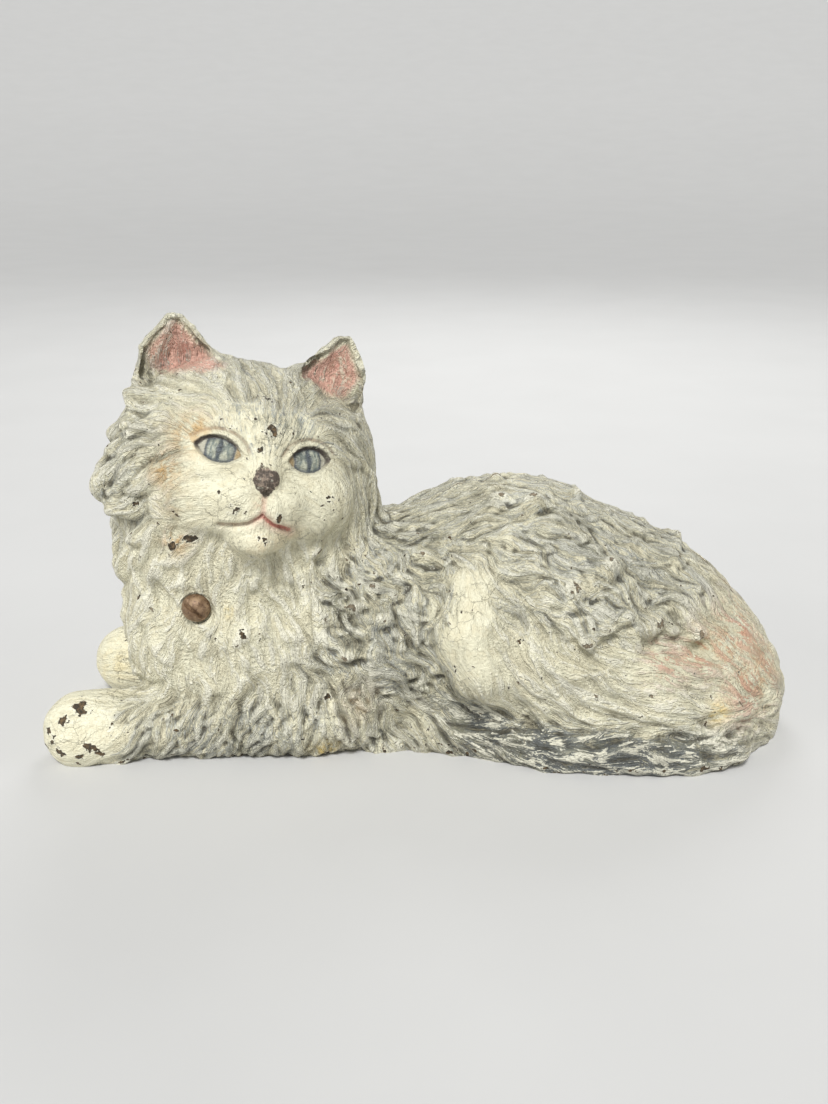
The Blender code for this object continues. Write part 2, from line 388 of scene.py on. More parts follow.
# Where the coat is, which way it runs, its kind of tuft, and how grey it is; on the tail band
# and the left ruff the grey is partly painted shade.
# The head's places are in the head's frame, the body's in the bank's.
HEAD_COAT = (
    ((0, 15, 27), (0, 1, -0.2), "face", 0.5),
    ((-10, 12, 27), (-0.4, 1, -0.2), "face", 0.35),
    ((10, 12, 27), (0.4, 1, -0.2), "face", 0.4),
    ((-15, 3, 26), (-1, 0, 0), "face", 0.0),
    ((15, 3, 26), (1, 0, 0), "face", 0.0),
    ((0, -5, 37), (0, 1, 0), "face", 0.0),
    ((0, -14, 35), (0, -1, 0), "face", 0.0),
    ((-13, -10, 30), (-1, -0.3, 0), "face", 0.0),
    ((13, -10, 30), (1, -0.3, 0), "face", 0.0),
    ((-21, -13, 26), (-1, -0.5, 0), "face", 0.0),
    ((22, -12, 26), (1, -0.5, 0), "face", 0.0),
    ((0, -26, 33), (0, -1, 0), "face", 0.0),
    ((-11, -24, 29), (-0.5, -1, 0), "face", 0.0),
    ((11, -24, 29), (0.5, -1, 0), "face", 0.0),
    ((0, 23, 24), (0, 1, -0.4), "crown", 0.4),
    ((0, 32, 15), (0, 1, -0.7), "crown", 0.55),
    ((-12, 22, 23), (-0.35, 1, -0.4), "crown", 0.25),
    ((12, 22, 23), (0.3, 1, -0.4), "crown", 0.45),
    ((-16, 31, 12), (-0.3, 1, -0.5), "crown", 0.3),
    ((16, 31, 12), (0.3, 1, -0.5), "crown", 0.55),
    ((-24, 14, 20), (-1, 0.35, -0.4), "crown", 0.1),
    ((24, 15, 20), (1, 0.0, -0.4), "mane", 0.45),
    ((-33, 20, 8), (-0.9, 0.5, -0.4), "crown", 0.2),
    ((34, 18, 10), (0.6, -0.5, -0.4), "mane", 0.45),
    ((-36, 9, 10), (-1, 0.0, -0.5), "ruff", 0.35),
    ((-45, 2, -2), (-0.7, -0.5, -0.4), "ruff", 0.5),
    # Greyer rows on the left of the ruff: its grey paint, and in part painted shade on that side of the
    # head
    ((-34, -2, 17), (-1, -0.25, -0.3), "ruff", 0.45),
    ((-43, -10, 6), (-0.8, -0.5, 0), "ruff", 0.55),
    ((-30, -14, 20), (-0.9, -0.4, 0), "ruff", 0.12),
    ((-38, -22, 6), (-0.7, -0.7, 0), "ruff", 0.4),
    ((-24, -27, 17), (-0.6, -0.8, 0), "ruff", 0.1),
    ((32, 8, 16), (0.7, -0.7, -0.3), "mane", 0.4),
    ((42, 2, -2), (0.2, -1, -0.2), "mane", 0.5),
    ((35, -4, 16), (0.45, -0.9, -0.2), "mane", 0.35),
    ((44, -12, 4), (-0.1, -1, 0), "mane", 0.4),
    ((31, -16, 20), (0.15, -1, 0), "mane", 0.05),
    ((38, -24, 6), (-0.4, -0.9, 0), "mane", 0.2),
    ((25, -28, 16), (-0.3, -0.9, 0), "mane", 0),
    ((-13, -34, 20), (-0.3, -1, 0), "chest", 0.05),
    ((0, -36, 20), (0.1, -1, 0), "chest", 0.0),
    ((14, -34, 20), (0.3, -1, 0), "chest", 0.05),
    ((-27, 35, 0), (0, 1, 0), "ear", 0.0),
    ((27, 35, 7), (0, 1, 0), "ear", 0.0),
    ((-28, 35, -14), (0, 1, 0), "ear", 0.7),
    ((28, 35, -5), (0, 1, 0), "ear", 0.7),
    ((0, 36, -4), (0, 0.2, -1), "crown", 0.55),
    ((0, 24, -26), (0, -1, -0.6), "back", 0.78),
    ((0, 0, -40), (0, -1, 0), "back", 0.78),
    ((-28, 8, -28), (-0.4, -1, 0), "ruff", 0.75),
    ((28, 8, -28), (0.4, -1, 0), "ruff", 0.9),
    ((-40, -14, -16), (-0.4, -1, 0), "ruff", 0.6),
    ((42, -12, -18), (0.2, -1, 0), "ruff", 0.9),
)
CHEST_COAT = (
    ((-96, -28, 78), (-0.8, 0.2, -0.8), "ruff", 0.05),
    ((-84, -38, 74), (-0.6, 0, -1), "chest", 0.0),
    ((-70, -43, 74), (-0.2, 0, -1), "chest", 0.0),
    ((-52, -42, 74), (0.15, 0, -1), "chest", 0.0),
    ((-36, -38, 70), (0.3, 0, -1), "chest", 0.1),
    ((-92, -34, 58), (-0.5, 0, -0.9), "chest", 0.0),
    ((-62, -43, 58), (0.1, 0, -1), "chest", 0.0),
    ((-42, -40, 54), (0.4, 0, -1), "chest", 0.05),
    ((-90, -35, 38), (-0.3, 0, -1), "chest", 0.0),
    ((-72, -43, 36), (-0.15, 0, -1), "chest", 0.0),
    ((-50, -40, 36), (0.3, 0, -1), "chest", 0.1),
    ((-104, -10, 50), (-0.4, 0, -1), "chest", 0.05),
    ((-98, 16, 60), (-0.4, 0.2, -1), "chest", 0.2),
)
BODY_COAT = (
    ((-27, -36, 66), (0.5, 0, -1), "curl", 0.67),
    ((-22, -40, 48), (0.5, 0, -1), "curl", 0.67),
    ((-24, -40, 30), (0.4, 0, -1), "curl", 0.62),
    ((-16, -26, 76), (0.8, 0, -0.6), "curl", 0.77),
    ((-6, -40, 50), (0.7, 0, -0.8), "curl", 0.72),
    ((-8, -40, 30), (0.7, 0, -0.6), "curl", 0.77),
    ((6, -34, 68), (0.9, 0, -0.5), "curl", 0.62),
    ((8, -40, 36), (0.3, 0, -1), "back", 0.63),
    ((12, -36, 22), (0.7, 0, -0.7), "haunch", 0.8),
    ((9, -41, 54), (0.1, 0, -1), "back", 0.48),
    ((-8, -12, 86), (1, 0, 0.2), "back", 0.58),
    ((14, -22, 85), (1, 0, 0.0), "back", 0.48),
    ((22, 0, 95), (1, 0, 0), "back", 0.48),
    ((44, -14, 90), (1, 0, -0.3), "back", 0.48),
    ((66, -8, 85), (1, 0, -0.6), "back", 0.53),
    ((90, 0, 72), (0.8, 0, -0.8), "back", 0.58),
    ((34, -33, 77), (1, 0, -0.35), "curl", 0.5),
    ((58, -32, 76), (0.9, 0, -0.6), "back", 0.63),
    ((80, -26, 68), (0.8, 0, -0.8), "back", 0.73),
    ((100, -18, 60), (0.7, 0, -0.9), "back", 0.53),
    ((116, -8, 50), (0.6, 0, -1), "haunch", 0.18),
    ((19, -46, 66), (0.1, 0, -1), "face", 0.0),
    ((20, -50, 54), (0, 0, -1), "face", 0.0),
    ((22, -50, 42), (0.1, 0, -1), "face", 0.0),
    ((15, -48, 48), (0.1, 0, -1), "face", 0.0),
    ((29, -48, 28), (0.5, 0, -0.9), "haunch", 0),
    ((38, -43, 64), (0.6, 0, -0.8), "curl", 0.42),
    ((52, -47, 62), (0.7, 0, -0.7), "curl", 0.42),
    ((68, -46, 60), (0.8, 0, -0.7), "curl", 0.5),
    ((86, -38, 56), (0.8, 0, -0.8), "curl", 0.45),
    ((33, -48, 50), (0.4, 0, -0.9), "haunch", 0.12),
    ((54, -50, 44), (0.75, 0, -0.7), "haunch", 0.1),
    ((70, -49, 44), (0.9, 0, -0.5), "haunch", 0.12),
    ((88, -42, 42), (0.9, 0, -0.4), "haunch", 0.13),
    ((104, -36, 42), (0.8, 0, -0.6), "haunch", 0.08),
    ((120, -28, 36), (0.5, 0.2, -0.9), "haunch", 0.03),
    ((132, -10, 28), (0.2, 0.2, -1), "haunch", 0.08),
    ((44, -44, 26), (0.8, 0, -0.6), "haunch", 0.15),
    ((64, -46, 26), (1, 0, -0.35), "haunch", 0.08),
    ((86, -46, 26), (1, 0, -0.2), "haunch", 0.08),
    ((108, -42, 24), (1, 0.1, -0.2), "haunch", 0.08),
    ((126, -32, 14), (0.8, 0.6, -0.3), "tail", 0.4),
    # The tail band's greys run past 1: darker paint there, and in part painted shade under the haunch,
    # which faces down
    ((26, -36, 12), (1, 0, -0.2), "tail", 1.2),
    ((46, -49, 9), (1, 0, -0.1), "tail", 1.4),
    ((70, -53, 8), (1, 0, 0), "tail", 1.4),
    ((94, -52, 8), (1, 0, 0.05), "tail", 1.3),
    ((110, -46, 8), (1, 0.3, 0.1), "tail", 0.8),
    ((0, -30, 14), (0.5, 0, -0.8), "tail", 0.3),
)
LEG_COAT = (
    ((-24, -42, 14), (0.1, 0, -1), "leg", 0.5),
    ((-40, -44, 18), (-0.1, 0, -1), "leg", 0.55),
    ((-40, -42, 5), (-0.1, 0, -1), "leg", 0.45),
    ((-60, -44, 18), (-0.3, 0, -1), "leg", 0.75),
    ((-60, -42, 5), (-0.3, 0, -1), "leg", 0.8),
    ((-80, -44, 16), (-0.45, 0, -0.9), "leg", 0.7),
    ((-80, -42, 4), (-0.45, 0, -0.9), "leg", 0.8),
    ((-96, -44, 14), (-0.5, 0, -0.9), "leg", 0.45),
    ((-96, -42, 4), (-0.5, 0, -0.9), "leg", 0.6),
    ((-66, -40, 27), (-0.2, 0, -1), "leg", 0.1),
    ((-92, -30, 25), (-0.6, 0, -0.5), "leg", 0.1),
    ((-112, -46, 12), (-1, 0, -0.3), "paw", 0.0),
    ((-128, -40, 12), (-1, 0, -0.3), "paw", 0.0),
    ((-120, -30, 22), (-1, 0, 0), "paw", 0.0),
    ((-118, 14, 18), (-1, 0, 0), "paw", 0.0),
    ((-122, 26, 10), (-1, 0, 0), "paw", 0.0),
    ((-102, 14, 24), (-1, 0, 0), "paw", 0.05),
    ((-96, 32, 10), (-1, 0, -0.3), "leg", 0.4),
)

# The coat's waves, from broad to fine: size across the fur, and reach along it
WAVES = ((4.2, 10.0), (2.2, 9.0), (1.1, 8.0))

# Curled locks that stand out from the coat: place and size
LOCKS = (
    ((42, -14, 90), 4.8),
    ((55, -44, 69), 6.0),
    ((60, -48, 50), 5.3),
    ((67, -48, 56), 4.4),
    ((84, -40, 54), 5.8),
    ((100, -33, 48), 4.8),
    ((69, -34, 75), 5.1),
    ((30, -14, 92), 4.6),
    ((2, -30, 79), 4.1),
    ((-14, -36, 68), 3.7),
    ((-21, -38, 60), 4.1),
    ((-24, -40, 42), 3.9),
    ((-10, -40, 56), 3.4),
    ((-33, -32, 78), 3.9),
)


def unit(v):
    return v / np.maximum(np.linalg.norm(v, axis=-1, keepdims=True), 1e-9)


def smooth(low, high, x):
    t = np.clip((x - low) / (high - low), 0.0, 1.0)
    return t * t * (3.0 - 2.0 * t)


def ripple(p, size, seed):
    """Smooth noise from -1 to 1, out of crossed waves with random headings."""
    draw = np.random.default_rng(seed)
    total = np.zeros(len(p))
    for _ in range(7):
        heading = unit(draw.normal(size=3)) * draw.uniform(0.7, 1.5) * 2.0 * math.pi / size
        total += np.sin(p @ heading + draw.uniform(0.0, 6.3))
    return total / 3.2


def coat_rows():
    """Every row of the coat in the bank's frame, with a greyer copy of the body's on the far side."""
    for place, way, kind, grey in HEAD_COAT:
        yield HEAD_AXES @ np.array(place, float) + HEAD_AT, HEAD_AXES @ np.array(way, float), kind, grey
    for place, way, kind, grey in CHEST_COAT + LEG_COAT:
        yield place, way, kind, grey
    flip = np.array((1.0, -1.0, 1.0))
    for place, way, kind, grey in BODY_COAT:
        yield place, way, kind, grey
        if place[1] < -12:
            kind = "haunch" if kind == "face" else kind
            yield place * flip + (0, 2, 0), way * flip, kind, max(grey, 0.45)


class Coat:
    """What the coat does at each point of the skin."""

    def __init__(self, points, normals):
        places, ways, kinds, greys = (np.array(column) for column in zip(*coat_rows()))
        ways = unit(ways)
        rows = [KINDS[kind] for kind in kinds]
        facts = np.array([(row.coarse, row.medium, row.swirl) for row in rows])
        facts = np.concatenate([ways, greys[:, None], facts], axis=1)
        wander = np.stack([ripple(points, 15.0, SEED + i) for i in range(3)], axis=1)
        found = np.zeros((len(points), facts.shape[1]))
        self.kind = np.empty(len(points), dtype=kinds.dtype)
        for start in range(0, len(points), 20000):
            part = slice(start, start + 20000)
            gap = np.linalg.norm((points + 1.5 * wander)[part, None] - places[None], axis=2)
            weight = 1.0 / (gap + 1.5) ** 3.5
            weight /= weight.sum(axis=1, keepdims=True)
            found[part] = weight @ facts
            self.kind[part] = kinds[np.argmin(gap, axis=1)]
        self.grey, self.coarse, self.medium, swirl = found[:, 3:].T
        self.way = self.along_skin(found[:, :3], normals)
        across = np.cross(normals, self.way)
        turn = swirl * (ripple(points, 17.0, SEED + 7) + 0.5 * ripple(points, 8.0, SEED + 8))
        self.swirled = self.way * np.cos(turn)[:, None] + across * np.sin(turn)[:, None]

    @staticmethod
    def along_skin(way, normals):
        return unit(way - normals * np.sum(way * normals, axis=1, keepdims=True))


def near_points(tree, at, reach):
    return np.array([index for _, index, _ in tree.find_range(at, reach)], dtype=int)


def tree_of(points):
    tree = KDTree(len(points))
    for index, point in enumerate(points):
        tree.insert(point, index)
    tree.balance()
    return tree


class Volume:
    """Values on a regular grid, read between its points."""

    def __init__(self, points, step):
        self.step = step
        self.low = points.min(axis=0) - 12.0
        self.shape = tuple(((points.max(axis=0) + 12.0 - self.low) / step).astype(int) + 2)

    def cell(self, points):
        at = (points - self.low) / self.step
        return np.clip(at, 0.0, np.array(self.shape) - 1.001)

    def random(self, draw):
        self.values = draw.normal(size=self.shape).astype(np.float32)
        return self

    def spread(self, points, vectors):
        """Averages the vectors that fall in each cell, and fills the empty cells from their neighbours."""
        index = np.ravel_multi_index(self.cell(points).astype(int).T, self.shape)
        size = int(np.prod(self.shape))
        sums = [np.bincount(index, vectors[:, axis], size).reshape(self.shape) for axis in range(3)]
        self.values = np.stack(sums, axis=-1)
        for _ in range(3):
            empty = np.abs(self.values).sum(axis=-1) == 0.0
            near = sum(np.roll(self.values, shift, axis) for axis in range(3) for shift in (-1, 1))
            self.values[empty] = near[empty]
        return self

    def nearest(self, points):
        x, y, z = self.cell(points).astype(int).T
        return self.values[x, y, z]

    def between(self, points):
        at = self.cell(points)
        low = at.astype(int)
        part = at - low
        part = part * part * (3.0 - 2.0 * part)
        total = np.zeros(len(points))
        for dx in (0, 1):
            for dy in (0, 1):
                for dz in (0, 1):
                    away = np.abs(np.array((1 - dx, 1 - dy, 1 - dz)) - part)
                    share = away[:, 0] * away[:, 1] * away[:, 2]
                    total += share * self.values[low[:, 0] + dx, low[:, 1] + dy, low[:, 2] + dz]
        return total


def normal_spread(values):
    return (values - values.mean()) / values.std()


def smeared_waves(points, ways, sizes_and_reaches):
    """For each size, noise that is smeared along the coat to about the given reach."""
    draw = np.random.default_rng(SEED + 3)
    field = Volume(points, 1.6).spread(points, ways)
    noises = [Volume(points, size).random(draw) for size, _ in sizes_and_reaches]
    totals = [noise.between(points) for noise in noises]
    step = 0.9
    farthest = max(reach for _, reach in sizes_and_reaches)
    for sign in (-1.0, 1.0):
        at = points.copy()
        for count in range(1, int(farthest / step) + 1):
            at = at + sign * step * unit(field.nearest(at))
            for number, (_, reach) in enumerate(sizes_and_reaches):
                if count * step <= reach:
                    fade = math.cos(0.5 * math.pi * count * step / (reach + step))
                    totals[number] += fade * noises[number].between(at)
    return [normal_spread(total) for total in totals]


class Net:
    """Smooths values over the skin by averaging each point with those it shares an edge with."""

    def __init__(self, mesh):
        edges = np.empty(len(mesh.edges) * 2, int)
        mesh.edges.foreach_get("vertices", edges)
        self.a, self.b = edges.reshape(-1, 2).T
        self.count = len(mesh.vertices)
        self.degree = np.bincount(self.a, None, self.count) + np.bincount(self.b, None, self.count)

    def smooth(self, values, times):
        for _ in range(times):
            total = np.bincount(self.a, values[self.b], self.count)
            total += np.bincount(self.b, values[self.a], self.count)
            values = 0.4 * values + 0.6 * total / self.degree
        return values


def choose_seeds(points, coat, tree, draw):
    """Places for the tufts: random, but none too near the one before it."""
    free = np.ones(len(points), bool)
    chosen = []
    for index in draw.permutation(len(points)):
        if free[index] and points[index, 2] > -1.5:
            gap = KINDS[coat.kind[index]].gap * draw.uniform(0.85, 1.2)
            chosen.append(index)
            free[near_points(tree, points[index], gap)] = False
    return chosen


class Fur:
    """Height of the tufts over the skin, and how near each point is to a tuft's tip."""

    def __init__(self, count):
        self.height = np.zeros(count)
        self.tip = np.zeros(count)

    def raise_to(self, near, height, tip):
        over = height > self.height[near]
        hit = near[over]
        self.height[hit] = height[over]
        self.tip[hit] = tip[over]


def lay_tuft(fur, points, normals, tree, seed, way, kind, draw):
    """One tuft: narrow at its root, full in its middle, pointed and highest near its tip."""
    normal = normals[seed]
    turn = draw.normal() * kind.turn
    along_way = way * math.cos(turn) + np.cross(normal, way) * math.sin(turn)
    across_way = np.cross(normal, along_way)
    length = kind.length * draw.uniform(0.7, 1.25)
    width = kind.width * draw.uniform(0.75, 1.3)
    high = kind.height * draw.uniform(0.5, 1.3)
    bend = draw.uniform(-0.35, 0.35)
    start = points[seed] - along_way * 0.35 * length
    near = near_points(tree, points[seed] + along_way * 0.15 * length, 0.72 * length)
    near = near[normals[near] @ normal > 0.1]
    from_start = points[near] - start
    u = from_start @ along_way / length
    across = from_start @ across_way - bend * length * u * u
    half = 0.5 * width * np.clip(1.0 - u, 0.0, 1.0) ** 0.4 * (0.5 + 0.6 * smooth(0.0, 0.5, u))
    w = across / np.maximum(half, 1e-3)
    inside = (u > 0.0) & (u < 1.0) & (np.abs(w) < 1.0)
    near, u, w = near[inside], u[inside], w[inside]
    height = high * (0.15 + 0.85 * smooth(0.05, 0.75, u)) * (1.0 - w * w)
    height *= 1.0 - 0.6 * smooth(0.8, 1.0, u)
    fur.raise_to(near, height, smooth(0.45, 0.95, u) * (1.0 - w * w))


# The way that a lock hangs
LOCK_HANGS = np.array((0.25, 0.0, -1.0))


def lay_lock(fur, points, normals, tree, place, size, wear, way, draw):
    """A curled lock: a knob with a hooked ridge, and a hollow under its lower side."""
    _, seed, _ = tree.find(place)
    normal = normals[seed]
    down = unit(LOCK_HANGS - normal * (LOCK_HANGS @ normal))
    side = np.cross(normal, down)
    near = near_points(tree, points[seed], size * 2.2)
    near = near[normals[near] @ normal > 0.0]
    rel = points[near] - points[seed]
    x, y = rel @ side, rel @ down
    skew = way[seed] @ side
    x = x - 0.3 * skew * y
    reach = np.hypot(x, y * 1.15) / size
    angle = (np.arctan2(y, x) + math.pi + draw.uniform(0.0, 6.3)) % (2.0 * math.pi) / (2.0 * math.pi)
    hook = np.exp(-(((reach - 0.3 - 0.35 * angle) / 0.16) ** 2)) * smooth(0.0, 0.25, angle)
    mound = np.exp(-(reach**2) * 1.6)
    under = np.exp(-(((y / size - 1.15) / 0.45) ** 2) - (x / size / 0.95) ** 2)
    rise = size * (0.6 * mound + 0.18 * hook * mound - 0.42 * under)
    fur.height[near] = np.maximum(fur.height[near], 0.0) + rise
    fur.tip[near] = np.maximum(fur.tip[near], wear * mound)


def grow_fur(points, normals, coat, tree):
    draw = np.random.default_rng(SEED)
    fur = Fur(len(points))
    for seed in choose_seeds(points, coat, tree, draw):
        kind = KINDS[coat.kind[seed]]
        if kind.height > 0.0:
            lay_tuft(fur, points, normals, tree, seed, coat.way[seed], kind, draw)
    for place, way, length, width, high in BIG_TUFTS:
        place = HEAD_AXES @ np.array(place, float) + HEAD_AT
        _, seed, _ = tree.find(place)
        way = HEAD_AXES @ np.array(way, float)
        way = unit(way - normals[seed] * (way @ normals[seed]))
        kind = Kind(length, width, high, 0.0, 0.05, 0.0, 0.0, 0.0)
        lay_tuft(fur, points, normals, tree, seed, way, kind, draw)
    for place, size in LOCKS:
        lay_lock(fur, points, normals, tree, place, size, LOCK_WEAR, coat.way, draw)
    curly = np.nonzero(np.isin(coat.kind, ("curl", "back")))[0]
    for seed in draw.choice(curly, RANDOM_LOCKS):
        size = draw.uniform(*RANDOM_LOCK_SIZES)
        wear = draw.uniform(*RANDOM_LOCK_WEAR)
        lay_lock(fur, points, normals, tree, points[seed], size, wear, coat.way, draw)
    return fur


# How rubbed the chosen locks are, and how many random ones there are, their sizes and their wear
LOCK_WEAR = 1.25
RANDOM_LOCKS = 85
RANDOM_LOCK_SIZES = (1.7, 3.5)
RANDOM_LOCK_WEAR = (0.6, 1.15)

# The ruff's largest tufts, which break the head's outline: place, way, length, width, height
BIG_TUFTS = (
    ((-38, 14, 6), (-1, 0.2, -0.3), 26, 14, 3.4),
    ((-42, 4, 2), (-1, -0.1, -0.3), 28, 16, 3.7),
    ((-42, -7, 6), (-1, -0.3, -0.2), 28, 16, 3.7),
    ((-38, -18, 8), (-0.9, -0.6, -0.1), 28, 16, 3.6),
    ((-30, -26, 12), (-0.7, -0.8, 0.0), 26, 13, 3.7),
    ((-36, 0, 14), (-1, -0.2, 0.0), 26, 10, 3.0),
    ((-32, -12, 17), (-1, -0.45, 0.0), 26, 10, 2.9),
)

# Long hollows in the body: their points, and the radius at each
HOLLOWS = (
    (((38, -47, 57), 3.5), ((56, -51, 47), 4.0), ((80, -46, 47), 4.0), ((102, -38, 44), 3.5)),
    (((1, -42, 42), 4.0), ((6, -40, 29), 5.0), ((10, -40, 22), 3.0)),
    (((-18, -44, 30), 2.5), ((-12, -42, 20), 3.0), ((-4, -34, 10), 3.0)),
)


# ---------------------------------------------------------------- the face's fine forms

EYE_AT = (15.2, 2.6)
EYE_TILT = math.radians(9.0)
EYE_HALF = (7.2, 4.1)


def in_eye(q):
    """Places in the eye's own frame, x outward from the nose and y up, for either eye."""
    x = np.abs(q[:, 0]) - EYE_AT[0]
    y = q[:, 1] - EYE_AT[1]
    c, s = math.cos(EYE_TILT), math.sin(EYE_TILT)
    return x * c + y * s, y * c - x * s


def almond(x, y, half_wide, half_high):
    """Signed distance to the overlap of two circles."""
    radius = (half_wide**2 + half_high**2) / (2.0 * half_high)
    shift = radius - half_high
    return np.maximum(np.hypot(x, y + shift), np.hypot(x, y - shift)) - radius


def path_gap(x, y, corners):
    best = np.full(len(x), 1e9)
    for (px, py), (qx, qy) in zip(corners, corners[1:]):
        ex, ey = qx - px, qy - py
        t = np.clip(((x - px) * ex + (y - py) * ey) / (ex * ex + ey * ey), 0.0, 1.0)
        best = np.minimum(best, np.hypot(x - px - t * ex, y - py - t * ey))
    return best


MOUTH = ((-12.5, -21.8), (-8.0, -21.6), (-3.5, -20.4), (0.5, -17.4), (4.5, -20.0), (11.0, -21.3))
PHILTRUM = ((0.3, -9.5), (0.5, -17.4))
NOSE_AT = (0.3, -6.2)


def face_marks(q):
    """How far each point of the head is from the eyes, the mouth, the philtrum and the nose."""
    front = q[:, 2] > 14.0
    x, y = in_eye(q)
    eye = np.where(front, almond(x, y, *EYE_HALF), 9.0)
    mouth = np.where(front, path_gap(q[:, 0], q[:, 1], MOUTH), 9.0)
    philtrum = np.where(front, path_gap(q[:, 0], q[:, 1], PHILTRUM), 9.0)
    high = q[:, 1] - NOSE_AT[1]
    broad = np.clip(4.1 + 0.42 * high, 1.8, 4.3)
    nose = np.hypot((q[:, 0] - NOSE_AT[0]) / broad, high / 5.0) - 1.0
    nose = np.where(front, nose * 4.0, 9.0)
    return eye, mouth, philtrum, nose, x, y


def face_relief(q):
    """How far the face's fine forms stand out from or sink into the head."""
    eye, mouth, philtrum, nose, x, y = face_marks(q)
    ball = 1.5 * smooth(0.3, -4.5, eye) - 0.9 * smooth(0.9, -0.4, eye)
    lid = np.exp(-(((eye - 1.0) / 0.8) ** 2)) * (0.25 + 0.75 * smooth(-1.0, 3.0, y))
    crease = -0.6 * np.exp(-(((eye - 3.0) / 0.8) ** 2)) * smooth(0.5, 3.0, y)
    groove = -0.95 * np.exp(-((mouth / 0.65) ** 2)) + 0.45 * np.exp(-(((mouth - 1.9) / 1.0) ** 2))
    lip = -0.8 * np.exp(-((philtrum / 0.7) ** 2))
    leather = 0.5 * smooth(0.5, -0.4, nose)
    nostril = -1.0 * np.exp(-(((np.abs(q[:, 0] - 0.3) - 1.7) / 0.8) ** 2 + ((q[:, 1] + 8.6) / 0.8) ** 2))
    nostril = np.where(q[:, 2] > 14.0, nostril, 0.0)
    return ball + lid + crease + groove + lip + leather + nostril


# ---------------------------------------------------------------- where the paint differs

# Chips: place and size. The first list is in the head's frame, the second in the bank's.
HEAD_CHIPS = (
    ((-14, 12, 29), 1.0),
    ((-12, 10, 30), 1.2),
    ((-5, 14, 31), 1.1),
    ((1, 11, 33), 2.4),
    ((0, 22, 25), 1.7),
    ((-2, 4, 34), 1.1),
    ((-6, 1, 33), 0.9),
    ((1, 1, 37), 0.9),
    ((-19, -9, 32), 0.9),
    ((-14, -11, 34), 1.0),
    ((-9, -16, 36), 1.9),
    ((16, -6, 32), 1.2),
    ((24, -9, 30), 1.2),
    ((6, -18, 36), 1.3),
    ((5, -15, 38), 1.1),
    ((2, -25, 34), 1.6),
    ((6, -27, 34), 0.9),
    ((-39, -19, 12), 1.5),
    ((38, -25, 19), 1.8),
    ((-25, -31, 16), 2.2),
    ((-20, -28, 20), 2.0),
)
BODY_CHIPS = (
    ((-60, -42, 52), 1.8),
    ((-68, -43, 50), 1.2),
    ((-76, -43, 43), 1.1),
    ((-98, -27, 59), 1.8),
    ((-94, -36, 50), 1.2),
    ((-115, -48, 10), 2.8),
    ((-112, -47, 7), 2.0),
    ((-126, -47, 8), 2.4),
    ((-130, -44, 14), 2.4),
    ((-127, -46, 12), 1.6),
    ((-120, -41, 23), 2.8),
    ((-117, -43, 22), 2.2),
    ((-108, -46, 17), 1.6),
    ((-124, -45, 19), 2.0),
    ((-131, -42, 8), 2.2),
    ((-119, -48, 6), 1.8),
    ((15, -45, 40), 1.3),
    ((16, -45, 53), 0.9),
    ((62, -51, 19), 1.4),
    ((80, -50, 22), 1.2),
    ((-30, -40, 26), 1.2),
)
# Stains: place, size and which of tan, rose and yellow it adds
HEAD_STAINS = (
    ((-31, -6, 24), 7.0, "tan", 1.0),
    ((-25, 6, 24), 8.0, "tan", 0.85),
    ((-22, 9, 25), 5.0, "tan", 1.0),
    ((-24, -29, 17), 5.0, "tan", 1.0),
    ((-27, -16, 24), 7.0, "tan", 0.4),
    ((4, -27, 33), 6.0, "tan", 0.35),
    ((11, -23, 30), 5.0, "tan", 0.35),
    ((0.4, -13, 36), 3.0, "rose", 0.6),
)
BODY_STAINS = (
    ((-32, -40, 4), 5.0, "yellow", 1.0),
    ((-64, -42, 60), 2.5, "yellow", 0.8),
    ((108, -44, 22), 4.0, "yellow", 0.8),
    ((89, -42, 40), 8.0, "rose", 0.8),
    ((101, -38, 41), 8.0, "rose", 0.8),
    ((119, -23, 44), 10.0, "rose", 0.9),
    ((119, -36, 26), 11.0, "rose", 0.8),
    ((112, -33, 40), 8.0, "rose", 0.7),
    ((128, -22, 30), 10.0, "rose", 0.6),
    ((-118, 10, 14), 10.0, "yellow", 0.25),
    ((-20, -38, 22), 9.0, "tan", 0.3),
    ((118, 20, 34), 12.0, "rose", 0.5),
    ((126, -26, 30), 15.0, "tan", 0.65),
    ((112, -34, 46), 12.0, "tan", 0.6),
    ((120, -8, 46), 13.0, "tan", 0.5),
)


def gap_from(points, chips):
    """Distance to the nearest chip's edge."""
    best = np.full(len(points), 9.0)
    for place, size in chips:
        best = np.minimum(best, np.linalg.norm(points - np.array(place, float), axis=1) - size)
    return best


def stain(points, stains, colour):
    total = np.zeros(len(points))
    for place, size, name, strength in stains:
        if name == colour:
            reach = np.linalg.norm(points - np.array(place, float), axis=1) / size
            total = np.maximum(total, strength * np.exp(-reach * reach))
    return total


def ear_pink(q):
    """How far each point is inside the hollow front of either ear, from 0 at its rim to 1."""
    flat, front, high = in_ear(q)
    return np.clip((3.5 - flat) / 8.0, 0.0, 1.0) * smooth(-1.5, 0.0, front) * smooth(21.0, 38.0, high)


